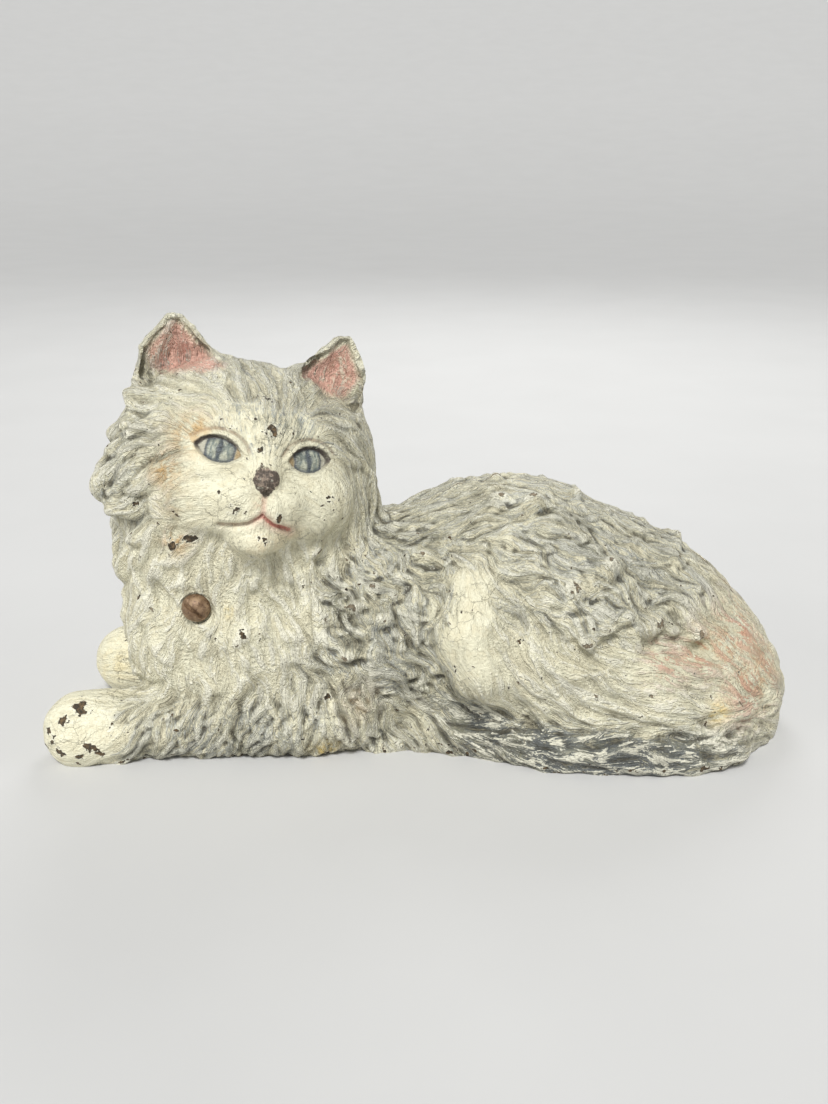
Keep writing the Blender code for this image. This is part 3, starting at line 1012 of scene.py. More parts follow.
class Sculpt:
    """The finished outside of the cat, and what its paint needs to know at each point."""

    def __init__(self):
        self.item, points, normals = base_skin()
        tree = tree_of(points)
        coat = Coat(points, normals)
        fur = grow_fur(points, normals, coat, tree)
        q = in_head(points)
        waves = smeared_waves(points, coat.swirled, WAVES)
        coarse, medium, fine = waves
        net = Net(self.item.data)
        lift = net.smooth(fur.height, 1)
        lift += coat.coarse * np.tanh(0.9 * coarse) * 0.75 + coat.medium * np.tanh(0.9 * medium) * 0.45
        furry = smooth(0.1, 0.9, coat.coarse)
        lift += furry * (0.7 * ripple(points, 30.0, SEED + 20) + 0.35 * ripple(points, 11.0, SEED + 21))
        relief = net.smooth(lift, 1) - net.smooth(lift, 16)
        lift += face_relief(q) - 0.8 * furry
        self.points = points + normals * lift[:, None]
        set_points(self.item.data, self.points)
        eye, mouth, philtrum, nose, x, y = face_marks(q)
        chip = np.minimum(gap_from(q, HEAD_CHIPS), gap_from(points, BODY_CHIPS))
        stains = [
            np.maximum(stain(q, HEAD_STAINS, name), stain(points, BODY_STAINS, name))
            for name in ("tan", "rose", "yellow")
        ]
        self.layers = {
            "wave": np.stack(waves, axis=1),
            "fur": np.stack([relief, fur.tip, furry], axis=1),
            "coat": np.stack([coat.grey, ear_pink(q), philtrum], axis=1),
            "stain": np.stack(stains, axis=1),
            "eye": np.stack([x, y, eye], axis=1),
            "mark": np.stack([mouth, nose, chip], axis=1),
            "head": q,
        }


# ---------------------------------------------------------------- castings

# The bosses' ends and sizes, the screw's recess and hole, the coin slot, and the lugs
FRONT_BOSS = (-36.0, -22.0)
BACK_BOSS_END = 29.0
TAPPED_END = 23.5
BOSS_RADIUS = 9.0
RECESS_RADIUS = 5.8
THREAD_RADIUS = 3.175
CLEARANCE = 0.35
COIN_SLOT_AT = (22.0, 20.0)
COIN_SLOT_LENGTH = 34.0
COIN_SLOT_GAP = 3.6
LUG_CORNERS = ((24.0, 83.0), (-106.3, 44.0), (130.6, 8.0))
LUG_SIZE = 5.0
LUG_REACH = 5.0
LUG_ROOT = 8.0
LUG_CLEARANCE = 0.5
# A casting's face with a corner farther than this from the sculpt's skin is bare iron
SKIN_GAP = 0.9


def add_form(name, maker):
    bm = bmesh.new()
    maker(bm)
    bmesh.ops.recalc_face_normals(bm, faces=bm.faces)
    mesh = bpy.data.meshes.new(name)
    bm.to_mesh(mesh)
    bm.free()
    return add_object(name, mesh)


def join_rings(bm, rings):
    """Faces between each ring of corners and the next."""
    for first, second in zip(rings, rings[1:]):
        for side in range(len(first)):
            after = (side + 1) % len(first)
            bm.faces.new((first[side], first[after], second[after], second[side]))


def box_maker(low, high):
    def make(bm):
        middle = (Vector(high) + Vector(low)) / 2
        place = Matrix.Translation(middle) @ Matrix.Diagonal((*(Vector(high) - Vector(low)), 1.0))
        bmesh.ops.create_cube(bm, size=1.0, matrix=place)

    return make


def prism_maker(profile):
    """A bar along X with the given outline in Y and Z."""

    def make(bm):
        ends = [[bm.verts.new((x, y, z)) for y, z in profile] for x in (-FAR, FAR)]
        join_rings(bm, ends)
        for end in ends:
            bm.faces.new(end)

    return make


def side_of_parting(edge, far_y, step_z):
    """The outline of everything above the ground on one side of the parting."""
    upper = edge + STEP_BACK
    return (far_y, 0.0), (edge, 0.0), (edge, step_z), (upper, step_z), (upper, FAR), (far_y, FAR)


def rod_maker(start_y, end_y, radius):
    """A round bar along Y on the screw's axis."""

    def make(bm):
        middle = Matrix.Translation((SCREW_X, (start_y + end_y) / 2, SCREW_Z))
        bmesh.ops.create_cone(
            bm,
            cap_ends=True,
            segments=64,
            radius1=radius,
            radius2=radius,
            depth=end_y - start_y,
            matrix=middle @ Matrix.Rotation(math.radians(-90.0), 4, "X"),
        )

    return make


def shape(item, operation, helper):
    """One Boolean step, on meshes that are closed."""
    step = item.modifiers.new("shape", "BOOLEAN")
    step.operation = operation
    step.solver = "MANIFOLD"
    step.object = helper
    apply_modifiers(item)


def shape_once(item, operation, maker):
    helper = add_form("helper", maker)
    shape(item, operation, helper)
    bpy.data.objects.remove(helper, do_unlink=True)


def hollow_distance(p):
    return np.maximum(cat_distance(p) + WALL, FLOOR - p[:, 2])


def hollow_form():
    low = np.array((-140.0, -56.0, 0.0))
    high = np.array((146.0, 56.0, 160.0))
    corners, quads = distance_surface(hollow_distance, low, high, HOLLOW_VOXEL)
    return add_object("hollow", mesh_from("hollow", corners, quads))


def lug_makers(extra):
    """A box for each lug, larger by extra all round."""
    for low_x, low_z in LUG_CORNERS:
        low = (low_x - extra, PARTING_Y - LUG_REACH - extra, low_z - extra)
        high = (low_x + LUG_SIZE + extra, PARTING_Y + LUG_ROOT, low_z + LUG_SIZE + extra)
        yield box_maker(low, high)


def casting(name, skin, hollow, outline, boss):
    """One casting: the skin on one side of the parting, hollowed, with its boss."""
    half = add_object(name, skin.data.copy())
    shape(half, "DIFFERENCE", hollow)
    shape_once(half, "INTERSECT", prism_maker(outline))
    shape_once(half, "UNION", boss)
    return half


def front_casting(skin, hollow):
    edge = PARTING_Y - PARTING_GAP / 2
    outline = side_of_parting(edge, -FAR, STEP_Z)
    boss = rod_maker(*FRONT_BOSS, BOSS_RADIUS)
    half = casting("front_casting_sculpt", skin, hollow, outline, boss)
    shape_once(half, "DIFFERENCE", rod_maker(-FAR, SEAT_Y, RECESS_RADIUS))
    shape_once(half, "DIFFERENCE", rod_maker(-FAR, FAR, THREAD_RADIUS + CLEARANCE))
    for maker in lug_makers(LUG_CLEARANCE):
        shape_once(half, "DIFFERENCE", maker)
    return half


def back_casting(skin, hollow):
    edge = PARTING_Y + PARTING_GAP / 2
    outline = side_of_parting(edge, FAR, STEP_Z - PARTING_GAP)
    boss = rod_maker(edge, BACK_BOSS_END, BOSS_RADIUS)
    half = casting("back_casting_sculpt", skin, hollow, outline, boss)
    shape_once(half, "DIFFERENCE", rod_maker(-FAR, TAPPED_END, THREAD_RADIUS + CLEARANCE))
    slot_x, slot_y = COIN_SLOT_AT
    low = (slot_x - COIN_SLOT_LENGTH / 2, slot_y - COIN_SLOT_GAP / 2, SCREW_Z)
    high = (slot_x + COIN_SLOT_LENGTH / 2, slot_y + COIN_SLOT_GAP / 2, FAR)
    shape_once(half, "DIFFERENCE", box_maker(low, high))
    for maker in lug_makers(0.0):
        shape_once(half, "UNION", maker)
    return half


def carry_paint(item, sculpt, tree, outside, inside):
    """Gives a casting its paint's layers, and bare iron where it isn't the outer skin."""
    mesh = item.data
    points = points_of(mesh)
    found = [tree.find(point) for point in points]
    index = np.array([one[1] for one in found])
    gap = np.array([one[2] for one in found])
    for name, values in sculpt.layers.items():
        layer = mesh.attributes.new(name, "FLOAT_VECTOR", "POINT")
        layer.data.foreach_set("vector", values[index].astype(np.float32).ravel())
    mesh.materials.clear()
    mesh.materials.append(outside)
    mesh.materials.append(inside)
    starts = np.empty(len(mesh.polygons), int)
    mesh.polygons.foreach_get("loop_start", starts)
    corners = np.empty(len(mesh.loops), int)
    mesh.loops.foreach_get("vertex_index", corners)
    recess = np.hypot(points[:, 0] - SCREW_X, points[:, 2] - SCREW_Z) < RECESS_RADIUS + 0.5
    gap[recess & (points[:, 1] < SEAT_Y + 0.1)] = 0.0
    worst = np.maximum.reduceat(gap[corners], starts)
    mesh.polygons.foreach_set("material_index", (worst > SKIN_GAP).astype(int))
    mesh.shade_smooth()
    mesh.set_sharp_from_angle(angle=math.radians(55.0))


def to_world(item):
    """From the bank's millimetres to the frame's metres."""
    item.data.transform(Matrix.Scale(MM, 4) @ Matrix.Translation(-Vector(CENTRE)))


# ---------------------------------------------------------------- screw

HEAD_RADIUS = 5.1
HEAD_HEIGHT = 4.4
SCREW_LENGTH = 60.0
DRIVER_SLOT_WIDTH = 1.9
DRIVER_SLOT_DEPTH = 2.4
DRIVER_SLOT_ANGLE = math.radians(-50.0)
THREAD_PITCH = 1.27
THREAD_DEPTH = 0.55
THREAD_START = 26.0
# How far the thread takes to rise, and the screw's taper at its point
THREAD_FADE = 1.5
POINT_TAPER = 0.9
SCREW_SIDES = 48
HEAD_RINGS = 12


def thread_radius(along, turn):
    """A V thread on the far part of the shank, with a plain shank before it."""
    phase = (along / THREAD_PITCH - turn) % 1.0
    wave = THREAD_DEPTH * abs(2.0 * phase - 1.0) ** 1.2
    fade = min(max((along - THREAD_START) / THREAD_FADE, 0.0), 1.0)
    lead = min(max((SCREW_LENGTH - along) / THREAD_FADE, 0.0), 1.0)
    return THREAD_RADIUS - wave * fade - POINT_TAPER * (1.0 - lead)


def screw_form(bm):
    """Rings from the top of the round head to the point, joined into one closed skin."""
    top = SEAT_Y - PARTING_GAP
    rows = []
    for step in range(1, HEAD_RINGS + 1):
        rise = math.radians(90.0) * step / HEAD_RINGS
        rows.append((-HEAD_HEIGHT * math.cos(rise), HEAD_RADIUS * math.sin(rise)))
    rows.append((0.0, THREAD_RADIUS))
    rings = []
    for along, radius in rows:
        rings.append([(along, radius)] * SCREW_SIDES)
    along = 0.6
    while along < SCREW_LENGTH:
        turns = [side / SCREW_SIDES for side in range(SCREW_SIDES)]
        rings.append([(along, thread_radius(along, turn)) for turn in turns])
        along += THREAD_PITCH / 6 if along > THREAD_START - THREAD_FADE else THREAD_FADE
    made = []
    for ring in rings:
        row = []
        for side, (along, radius) in enumerate(ring):
            turn = 2.0 * math.pi * side / SCREW_SIDES
            x = SCREW_X + radius * math.cos(turn)
            z = SCREW_Z + radius * math.sin(turn)
            row.append(bm.verts.new((x, top + along, z)))
        made.append(row)
    join_rings(bm, made)
    crown = bm.verts.new((SCREW_X, top - HEAD_HEIGHT, SCREW_Z))
    for side in range(SCREW_SIDES):
        bm.faces.new((crown, made[0][(side + 1) % SCREW_SIDES], made[0][side]))
    bm.faces.new(made[-1])


def driver_slot(bm):
    middle = Matrix.Translation((SCREW_X, SEAT_Y - PARTING_GAP - HEAD_HEIGHT, SCREW_Z))
    size = Matrix.Diagonal((DRIVER_SLOT_WIDTH, 2 * DRIVER_SLOT_DEPTH, 3 * HEAD_RADIUS, 1.0))
    bmesh.ops.create_cube(bm, size=1.0, matrix=middle @ Matrix.Rotation(DRIVER_SLOT_ANGLE, 4, "Y") @ size)


def make_screw(finish):
    screw = add_form("chest_screw_detailed", screw_form)
    shape_once(screw, "DIFFERENCE", driver_slot)
    bevel = screw.modifiers.new("soft_edges", "BEVEL")
    bevel.width = 0.25
    bevel.segments = 2
    bevel.limit_method = "ANGLE"
    bevel.angle_limit = math.radians(50.0)
    apply_modifiers(screw)
    screw.data.materials.clear()
    screw.data.materials.append(finish)
    screw.data.shade_smooth()
    screw.data.set_sharp_from_angle(angle=math.radians(35.0))
    return screw


# ---------------------------------------------------------------- materials


class Graph:
    """A material's nodes, written as expressions."""

    def __init__(self, name):
        self.material = bpy.data.materials.new(name)
        self.material.use_nodes = True
        self.tree = self.material.node_tree
        self.shader = self.tree.nodes["Principled BSDF"]

    def node(self, kind, inputs, **settings):
        made = self.tree.nodes.new(kind)
        for key, value in settings.items():
            setattr(made, key, value)
        for key, value in inputs.items():
            self.feed(made.inputs[key], value)
        return made

    def feed(self, socket, value):
        if isinstance(value, bpy.types.NodeSocket):
            self.tree.links.new(value, socket)
        elif isinstance(value, tuple) and len(value) == 3 and len(socket.default_value) == 4:
            socket.default_value = (*value, 1.0)
        else:
            socket.default_value = value

    def math(self, operation, *values, clamp=False):
        inputs = dict(enumerate(values))
        return self.node("ShaderNodeMath", inputs, operation=operation, use_clamp=clamp).outputs[0]

    def add(self, *values):
        total = values[0]
        for value in values[1:]:
            total = self.math("ADD", total, value)
        return total

    def times(self, *values):
        total = values[0]
        for value in values[1:]:
            total = self.math("MULTIPLY", total, value)
        return total

    def over(self, value, low, high, start=0.0, end=1.0):
        """A smooth step from start to end as the value goes from low to high."""
        if low > high:
            low, high, start, end = high, low, end, start
        inputs = {"Value": value, "From Min": low, "From Max": high, "To Min": start, "To Max": end}
        return self.node("ShaderNodeMapRange", inputs, interpolation_type="SMOOTHSTEP").outputs[0]

    def mix(self, amount, first, second, blend="MIX"):
        inputs = {0: amount, 6: first, 7: second}
        made = self.node("ShaderNodeMix", inputs, data_type="RGBA", blend_type=blend)
        return made.outputs[2]

    def layer(self, name):
        vector = self.node("ShaderNodeAttribute", {}, attribute_name=name).outputs["Vector"]
        return self.node("ShaderNodeSeparateXYZ", {0: vector}).outputs

    def vector(self, x, y, z):
        return self.node("ShaderNodeCombineXYZ", {0: x, 1: y, 2: z}).outputs[0]

    def place(self, scale):
        """Object coordinates, in units of the given size in metres."""
        where = self.node("ShaderNodeTexCoord", {}).outputs["Object"]
        return self.node("ShaderNodeVectorMath", {0: where, 3: 1.0 / scale}, operation="SCALE").outputs[0]

    def noise(self, where, detail=3.0, roughness=0.55):
        inputs = {"Vector": where, "Scale": 1.0, "Detail": detail, "Roughness": roughness}
        return self.node("ShaderNodeTexNoise", inputs).outputs[0]

    def cells(self, where, feature="F1", randomness=1.0):
        inputs = {"Vector": where, "Scale": 1.0, "Randomness": randomness}
        return self.node("ShaderNodeTexVoronoi", inputs, feature=feature).outputs["Distance"]

    def bump(self, height, distance, strength=1.0, normal=None):
        inputs = {"Height": height, "Distance": distance, "Strength": strength}
        if normal is not None:
            inputs["Normal"] = normal
        return self.node("ShaderNodeBump", inputs).outputs[0]

    def set(self, **values):
        for name, value in values.items():
            self.feed(self.shader.inputs[name.replace("_", " ").title()], value)


CREAM = (0.77, 0.74, 0.555)
CREAM_DEEP = (0.70, 0.655, 0.47)
GREY = (0.45, 0.45, 0.375)
GREY_DARK = (0.135, 0.145, 0.14)
GREY_OLIVE = (0.33, 0.32, 0.215)
GREY_BLUE = (0.33, 0.36, 0.355)
# Pale worn paint, also used as a painted highlight on sharp ridges
WORN_AND_HIGHLIGHT = (0.80, 0.775, 0.63)
# Dark olive: grime and cracks, and painted shade in creases
GRIME_AND_SHADE = (0.065, 0.057, 0.036)
IRON_DARK = (0.045, 0.036, 0.022)
IRON_RUST = (0.16, 0.105, 0.05)
TAN = (0.60, 0.40, 0.18)
ROSE = (0.60, 0.27, 0.17)
EAR_PINK = (0.68, 0.42, 0.33)
EAR_DEEP = (0.58, 0.27, 0.21)
YELLOW = (0.76, 0.56, 0.16)
LIP = (0.50, 0.16, 0.12)
# Brown of one side of the mouth, also painted as shade in the crease over each eye
LIP_AND_LID_SHADE_BROWN = (0.34, 0.22, 0.14)
NOSE = (0.085, 0.066, 0.05)
NOSE_WORN = (0.32, 0.25, 0.19)
IRIS = (0.19, 0.22, 0.195)
IRIS_PALE = (0.47, 0.48, 0.38)
IRIS_EDGE = (0.065, 0.08, 0.095)
LINER = (0.055, 0.042, 0.035)
EYE_WHITE = (0.50, 0.48, 0.38)
EYE_CORNER = (0.40, 0.30, 0.16)
BLUSH = (0.62, 0.38, 0.30)
PHILTRUM_PINK = (0.60, 0.33, 0.27)
INSIDE_IRON = (0.055, 0.05, 0.047)
INSIDE_RUST = (0.20, 0.095, 0.045)
INSIDE_RUST_DARK = (0.085, 0.045, 0.028)
STEEL_BROWN = (0.29, 0.195, 0.115)
STEEL_BROWN_DARK = (0.16, 0.095, 0.05)
STEEL_PITTED = (0.07, 0.035, 0.025)
STEEL_RUBBED = (0.42, 0.29, 0.19)
FLOOR_PALE = (0.59, 0.59, 0.58)
FLOOR_DULL = (0.55, 0.55, 0.54)


def painted_iron():
    """Old oil paint over cast iron."""
    g = Graph("old_paint_on_iron")
    wave, fur, coat = g.layer("wave"), g.layer("fur"), g.layer("coat")
    stain_at, eye, mark, head = g.layer("stain"), g.layer("eye"), g.layer("mark"), g.layer("head")
    grain = g.noise(g.place(0.0011), 3.0, 0.6)
    patch = g.noise(g.place(0.0045), 4.0, 0.6)
    broad = g.noise(g.place(0.016), 3.0)
    grains, patches = g.add(grain, -0.5), g.add(patch, -0.5)
    across = g.vector(g.times(wave[0], 2.2), g.times(wave[1], 1.3), g.times(wave[2], 0.6))
    strong = g.times(g.over(fur[2], 0.0, 1.0, 1.3, 1.6), g.over(coat[0], 0.0, 0.4, 0.55, 1.05))
    strands = g.times(g.add(g.noise(across, 2.0, 0.6), -0.5), strong)
    brush = g.add(g.times(wave[2], 0.10), g.times(wave[1], 0.04), strands, g.times(grains, 0.6))

    colour = coat_colour(g, brush, patches, broad, fur, coat)
    colour, dirt_and_shade = wear_dirt_and_shade(g, colour, brush, grains, patches, fur, coat)
    colour = stained(g, colour, brush, patches, stain_at)
    streak = g.over(g.add(patches, g.times(brush, 1.6), g.times(coat[1], 0.2)), -0.1, 0.3)
    pink = g.mix(streak, EAR_PINK, EAR_DEEP)
    paled = g.over(g.add(brush, patches), -0.1, 0.3, 1.0, 0.25)
    inner = g.add(coat[1], g.times(patches, 0.5), g.times(brush, 0.3))
    colour = g.mix(g.times(g.over(inner, 0.16, 0.48), paled), colour, pink)
    colour = paint_eyes(g, colour, eye, grains, patches)
    colour = paint_muzzle(g, colour, mark, coat, head, grains, patches)
    colour, chip, rim = chipped(g, colour, mark, fur, grains, patches)

    warp = {0: g.place(0.005), 1: g.vector(patch, grain, broad)}
    bent = g.node("ShaderNodeVectorMath", warp, operation="ADD").outputs[0]
    cracks = g.cells(bent, "DISTANCE_TO_EDGE")
    cracks = g.times(g.over(cracks, 0.026, 0.006), g.over(broad, 0.48, 0.58), g.over(fur[2], 0.9, 0.3))
    colour = g.mix(g.times(cracks, 0.5), colour, GRIME_AND_SHADE)

    rough = g.add(g.over(patch, 0.3, 0.7, 0.36, 0.56), g.times(chip, 0.25), g.times(dirt_and_shade, 0.15))
    wet = g.over(eye[2], 0.0, -0.6)
    rough = g.math("MAXIMUM", g.add(rough, g.times(wet, -0.2)), 0.25)
    height = g.add(g.times(brush, 2.0), g.times(grains, 0.3), g.times(cracks, -0.25))
    height = g.times(height, g.over(fur[2], 0.0, 1.0, 0.5, 1.0))
    normal = g.bump(height, 0.0011, 0.95)
    normal = g.bump(g.add(g.times(chip, -1.0), g.times(rim, 0.3)), 0.0004, 0.9, normal)
    g.set(base_color=colour, roughness=rough, normal=normal)
    g.shader.inputs["Specular IOR Level"].default_value = 0.45
    return g.material


def coat_colour(g, brush, patches, broad, fur, coat):
    """Cream and grey paint, brushed along the fur."""
    change = g.add(g.times(brush, 1.8), g.times(g.add(broad, -0.5), 0.9), g.times(patches, 0.7))
    grey = g.add(coat[0], g.times(change, g.over(coat[0], 0.0, 0.5, 0.5, 1.0)))
    grey = g.over(grey, 0.2, 0.9)
    cream = g.mix(g.over(g.add(patches, g.times(brush, -0.5)), -0.08, 0.2), CREAM, CREAM_DEEP)
    cream = g.mix(g.over(broad, 0.45, 0.7, 0.0, 0.7), cream, CREAM_DEEP)
    raised = g.add(brush, g.times(fur[0], 0.25), g.times(coat[0], -0.18))
    dull = g.mix(g.over(raised, -0.3, 0.04), GREY_DARK, GREY)
    dull = g.mix(g.over(g.add(broad, g.times(patches, 0.6)), 0.45, 0.65, 0.0, 0.6), dull, GREY_OLIVE)
    dull = g.mix(g.over(g.add(broad, g.times(brush, -0.5)), 0.5, 0.3, 0.0, 0.8), dull, GREY_BLUE)
    # Greys past about 0.65, highest on the tail band, go dark: darker paint, and in part painted shade
    # under the haunch
    dull = g.mix(g.over(g.add(coat[0], g.times(brush, 1.5)), 0.65, 1.4, 0.0, 0.95), dull, GREY_DARK)
    return g.mix(grey, cream, dull)


def wear_dirt_and_shade(g, colour, brush, grains, patches, fur, coat):
    """Pale where the fur stands out and on sharp ridges, which is wear with some painted highlight; dark
    olive where it sinks in, partly grime in the hollows and partly painted shade in the creases.
    """
    raised = g.add(g.times(fur[0], 0.8), g.times(brush, 2.1), g.times(patches, 0.7))
    worn = g.times(g.over(raised, 0.1, 0.36), fur[2], 0.9)
    colour = g.mix(worn, colour, WORN_AND_HIGHLIGHT)
    point = g.node("ShaderNodeNewGeometry", {}).outputs["Pointiness"]
    # Painted shade: darker in the concave creases that the pointiness finds
    crease = g.over(point, 0.5, 0.466)
    sunk = g.over(g.add(fur[0], g.times(brush, 1.0), g.times(patches, 0.6)), -0.1, -0.72)
    # Grime in the sunken fur and painted shade in the creases, mixed in as dark olive
    dirt_and_shade = g.math("MAXIMUM", g.times(crease, 0.8), g.times(sunk, fur[2], 0.9))
    dirt_and_shade = g.times(dirt_and_shade, g.over(patches, -0.25, 0.1, 0.55, 1.0), g.over(coat[0], 0.05, 0.5, 0.15, 1.0))
    colour = g.mix(dirt_and_shade, colour, GRIME_AND_SHADE)
    # Sharp ridges go pale: worn paint, and in part a painted highlight along them
    edge = g.times(g.over(point, 0.508, 0.55), g.over(grains, -0.15, 0.1), fur[2])
    knob = g.times(g.over(fur[1], 0.45, 0.95), g.over(brush, -0.08, 0.1), g.over(grains, -0.12, 0.02))
    return g.mix(g.math("MAXIMUM", g.times(edge, 0.75), g.times(knob, 0.9)), colour, WORN_AND_HIGHLIGHT), dirt_and_shade


def stained(g, colour, brush, patches, amounts):
    blotch = g.over(g.add(g.times(brush, 0.8), patches), -0.25, 0.2)
    strokes = g.over(g.add(brush, g.times(patches, 0.6)), -0.06, 0.12)
    colour = g.mix(g.times(amounts[0], blotch), colour, TAN)
    colour = g.mix(g.times(amounts[1], strokes, 0.85), colour, ROSE)
    return g.mix(g.times(amounts[2], blotch), colour, YELLOW)


def chipped(g, colour, mark, fur, grains, patches):
    """Chips down to the iron: chosen ones, sparse specks, and rubbed knobs of fur."""
    speck = g.noise(g.place(0.0026), 2.0, 0.5)
    region = g.noise(g.place(0.012), 1.0)
    high = g.node("ShaderNodeSeparateXYZ", {0: g.place(0.001)}).outputs[2]
    low = g.over(high, 1.0, 7.0, -0.13, 0.0)
    common = g.times(g.add(0.715, g.times(speck, -1.0), g.over(region, 0.45, 0.6, 0.06, 0.0), low), 16.0)
    chosen = g.add(mark[2], g.times(g.add(speck, -0.5), 7.5), g.times(grains, 3.0), 0.75)
    flat = g.times(g.add(1.12, g.times(fur[1], -1.0)), 5.0)
    knob = g.add(flat, g.times(g.add(speck, -0.5), 9.0), g.times(grains, 3.0))
    gap = g.math("MINIMUM", common, chosen)
    chip = g.over(gap, 0.12, -0.12)
    rubbed = g.over(knob, 0.2, -0.2)
    gap = g.math("MINIMUM", gap, knob)
    rim = g.times(g.over(gap, 0.8, 0.25), g.over(gap, -0.15, 0.1))
    colour = g.mix(g.times(rim, 0.65), colour, WORN_AND_HIGHLIGHT)
    rust = g.mix(g.over(grains, -0.12, 0.15), IRON_DARK, IRON_RUST)
    colour = g.mix(g.times(rubbed, 0.8), colour, IRON_RUST)
    return g.mix(chip, colour, rust), g.math("MAXIMUM", chip, rubbed), rim


def paint_eyes(g, colour, eye, grains, patches):
    """Blue-grey eyes brushed with upright strokes, a dark line over each, painted shade in the crease
    above and a warm inner corner.
    """
    x, y, gap = eye[0], eye[1], eye[2]
    strokes = g.noise(g.vector(g.times(x, 0.75), g.times(y, 0.22), 3.0), 3.0, 0.6)
    iris = g.mix(g.over(strokes, 0.38, 0.62), IRIS, IRIS_PALE)
    slit = g.add(g.math("ABSOLUTE", g.add(x, 0.3, g.times(patches, 2.5))), g.times(y, y, 0.06))
    iris = g.mix(g.over(slit, 1.5, 0.5, 0.0, 0.9), iris, IRIS_EDGE)
    side = g.math("ABSOLUTE", g.add(x, 0.4))
    iris = g.mix(g.over(side, 3.2, 4.6, 0.0, 0.9), iris, IRIS_EDGE)
    iris = g.mix(g.over(gap, -1.6, -0.4, 0.0, 0.75), iris, IRIS_EDGE)
    white = g.mix(g.over(x, -4.0, -6.0), EYE_WHITE, EYE_CORNER)
    ball = g.mix(g.over(side, 5.2, 4.4), white, iris)
    inside = g.over(g.add(gap, g.times(grains, 0.7)), 0.15, -0.25)
    colour = g.mix(inside, colour, ball)
    # Painted shade: brown in the crease above each upper lid
    lid_crease_shade = g.math("ABSOLUTE", g.add(gap, -2.9, g.times(patches, 1.5)))
    lid_crease_shade = g.times(g.over(lid_crease_shade, 0.9, 0.1), g.over(y, 0.5, 2.5), g.over(patches, -0.2, 0.1, 0.3, 1.0))
    colour = g.mix(g.times(lid_crease_shade, 0.5), colour, LIP_AND_LID_SHADE_BROWN)
    line = g.math("ABSOLUTE", g.add(gap, -0.15, g.times(grains, 0.8)))
    outer = g.over(g.add(y, g.times(x, 0.25)), -1.5, 2.0, 0.3, 1.0)
    line = g.times(g.over(line, 0.95, 0.3), outer, g.over(patches, -0.3, 0.05, 0.6, 1.0))
    return g.mix(line, colour, LINER)


def paint_muzzle(g, colour, mark, coat, head, grains, patches):
    """A worn dark nose, a thin mouth that is brown on one side and red on the other, and a pink lip."""
    nose = g.over(g.add(mark[1], g.times(patches, 4.5), g.times(grains, 1.5)), 0.4, -0.3)
    leather = g.mix(g.over(g.add(grains, g.times(patches, 0.5)), -0.05, 0.2), NOSE, NOSE_WORN)
    lower = g.over(head[1], -7.5, -10.0)
    leather = g.mix(g.times(lower, 0.8), leather, IRON_DARK)
    blush = g.times(g.over(mark[0], 3.2, 0.4), g.over(head[0], -6.0, 1.0, 0.05, 0.45))
    colour = g.mix(blush, colour, BLUSH)
    faded = g.over(patches, -0.25, 0.05, 0.5, 1.0)
    lip = g.mix(g.over(head[0], -4.0, 0.0), LIP_AND_LID_SHADE_BROWN, LIP)
    line = g.over(g.add(mark[0], g.times(grains, 0.7)), 0.85, 0.3)
    colour = g.mix(g.times(line, faded, g.over(head[0], -5.0, 0.0, 0.55, 0.9)), colour, lip)
    colour = g.mix(g.times(g.over(coat[2], 1.5, 0.2), 0.4), colour, PHILTRUM_PINK)
    return g.mix(nose, colour, leather)


def bare_iron():
    """The castings' insides: dark iron with brown rust and a sandy skin."""
    g = Graph("bare_cast_iron")
    sand = g.noise(g.place(0.0011), 4.0, 0.65)
    patch = g.noise(g.place(0.011), 4.0, 0.6)
    rust = g.mix(g.over(sand, 0.35, 0.65), INSIDE_RUST_DARK, INSIDE_RUST)
    colour = g.mix(g.over(patch, 0.38, 0.6), INSIDE_IRON, rust)
    normal = g.bump(g.add(sand, g.times(patch, 1.5)), 0.0006, 0.7)
    g.set(base_color=colour, roughness=g.over(patch, 0.3, 0.7, 0.62, 0.86), normal=normal)
    g.shader.inputs["Metallic"].default_value = 0.25
    return g.material


def rusted_steel():
    """The screw: coppery brown, rubbed brighter on its high edges."""
    g = Graph("rusted_screw_steel")
    sand = g.noise(g.place(0.0007), 3.0, 0.6)
    patch = g.noise(g.place(0.003), 3.0, 0.6)
    colour = g.mix(g.over(patch, 0.35, 0.65), STEEL_BROWN_DARK, STEEL_BROWN)
    colour = g.mix(g.over(sand, 0.52, 0.68, 0.0, 0.7), colour, STEEL_PITTED)
    point = g.node("ShaderNodeNewGeometry", {}).outputs["Pointiness"]
    colour = g.mix(g.over(point, 0.53, 0.62, 0.0, 0.6), colour, STEEL_RUBBED)
    colour = g.mix(g.over(point, 0.485, 0.43, 0.0, 0.85), colour, IRON_DARK)
    normal = g.bump(g.add(sand, patch), 0.00018, 0.7)
    g.set(base_color=colour, roughness=g.over(patch, 0.3, 0.7, 0.38, 0.6), normal=normal)
    g.shader.inputs["Metallic"].default_value = 0.35
    return g.material


def pale_floor():
    g = Graph("pale_floor")
    mottle = g.noise(g.place(0.09), 3.0)
    colour = g.mix(mottle, FLOOR_DULL, FLOOR_PALE)
    g.set(base_color=colour)
    g.shader.inputs["Roughness"].default_value = 0.7
    return g.material


# ---------------------------------------------------------------- stage

LOOK_AT = (-0.0034, 0.0095, 0.064)
CAMERA_DISTANCE = 0.44
CAMERA_RISE = math.radians(20.0)
CAMERA_LENS = 37.5
SENSOR_WIDTH = 36.0
SUN_FROM = (-0.08, -0.8, 1.0)
SUN_ANGLE = math.radians(14.0)
SUN_STRENGTH = 3.05
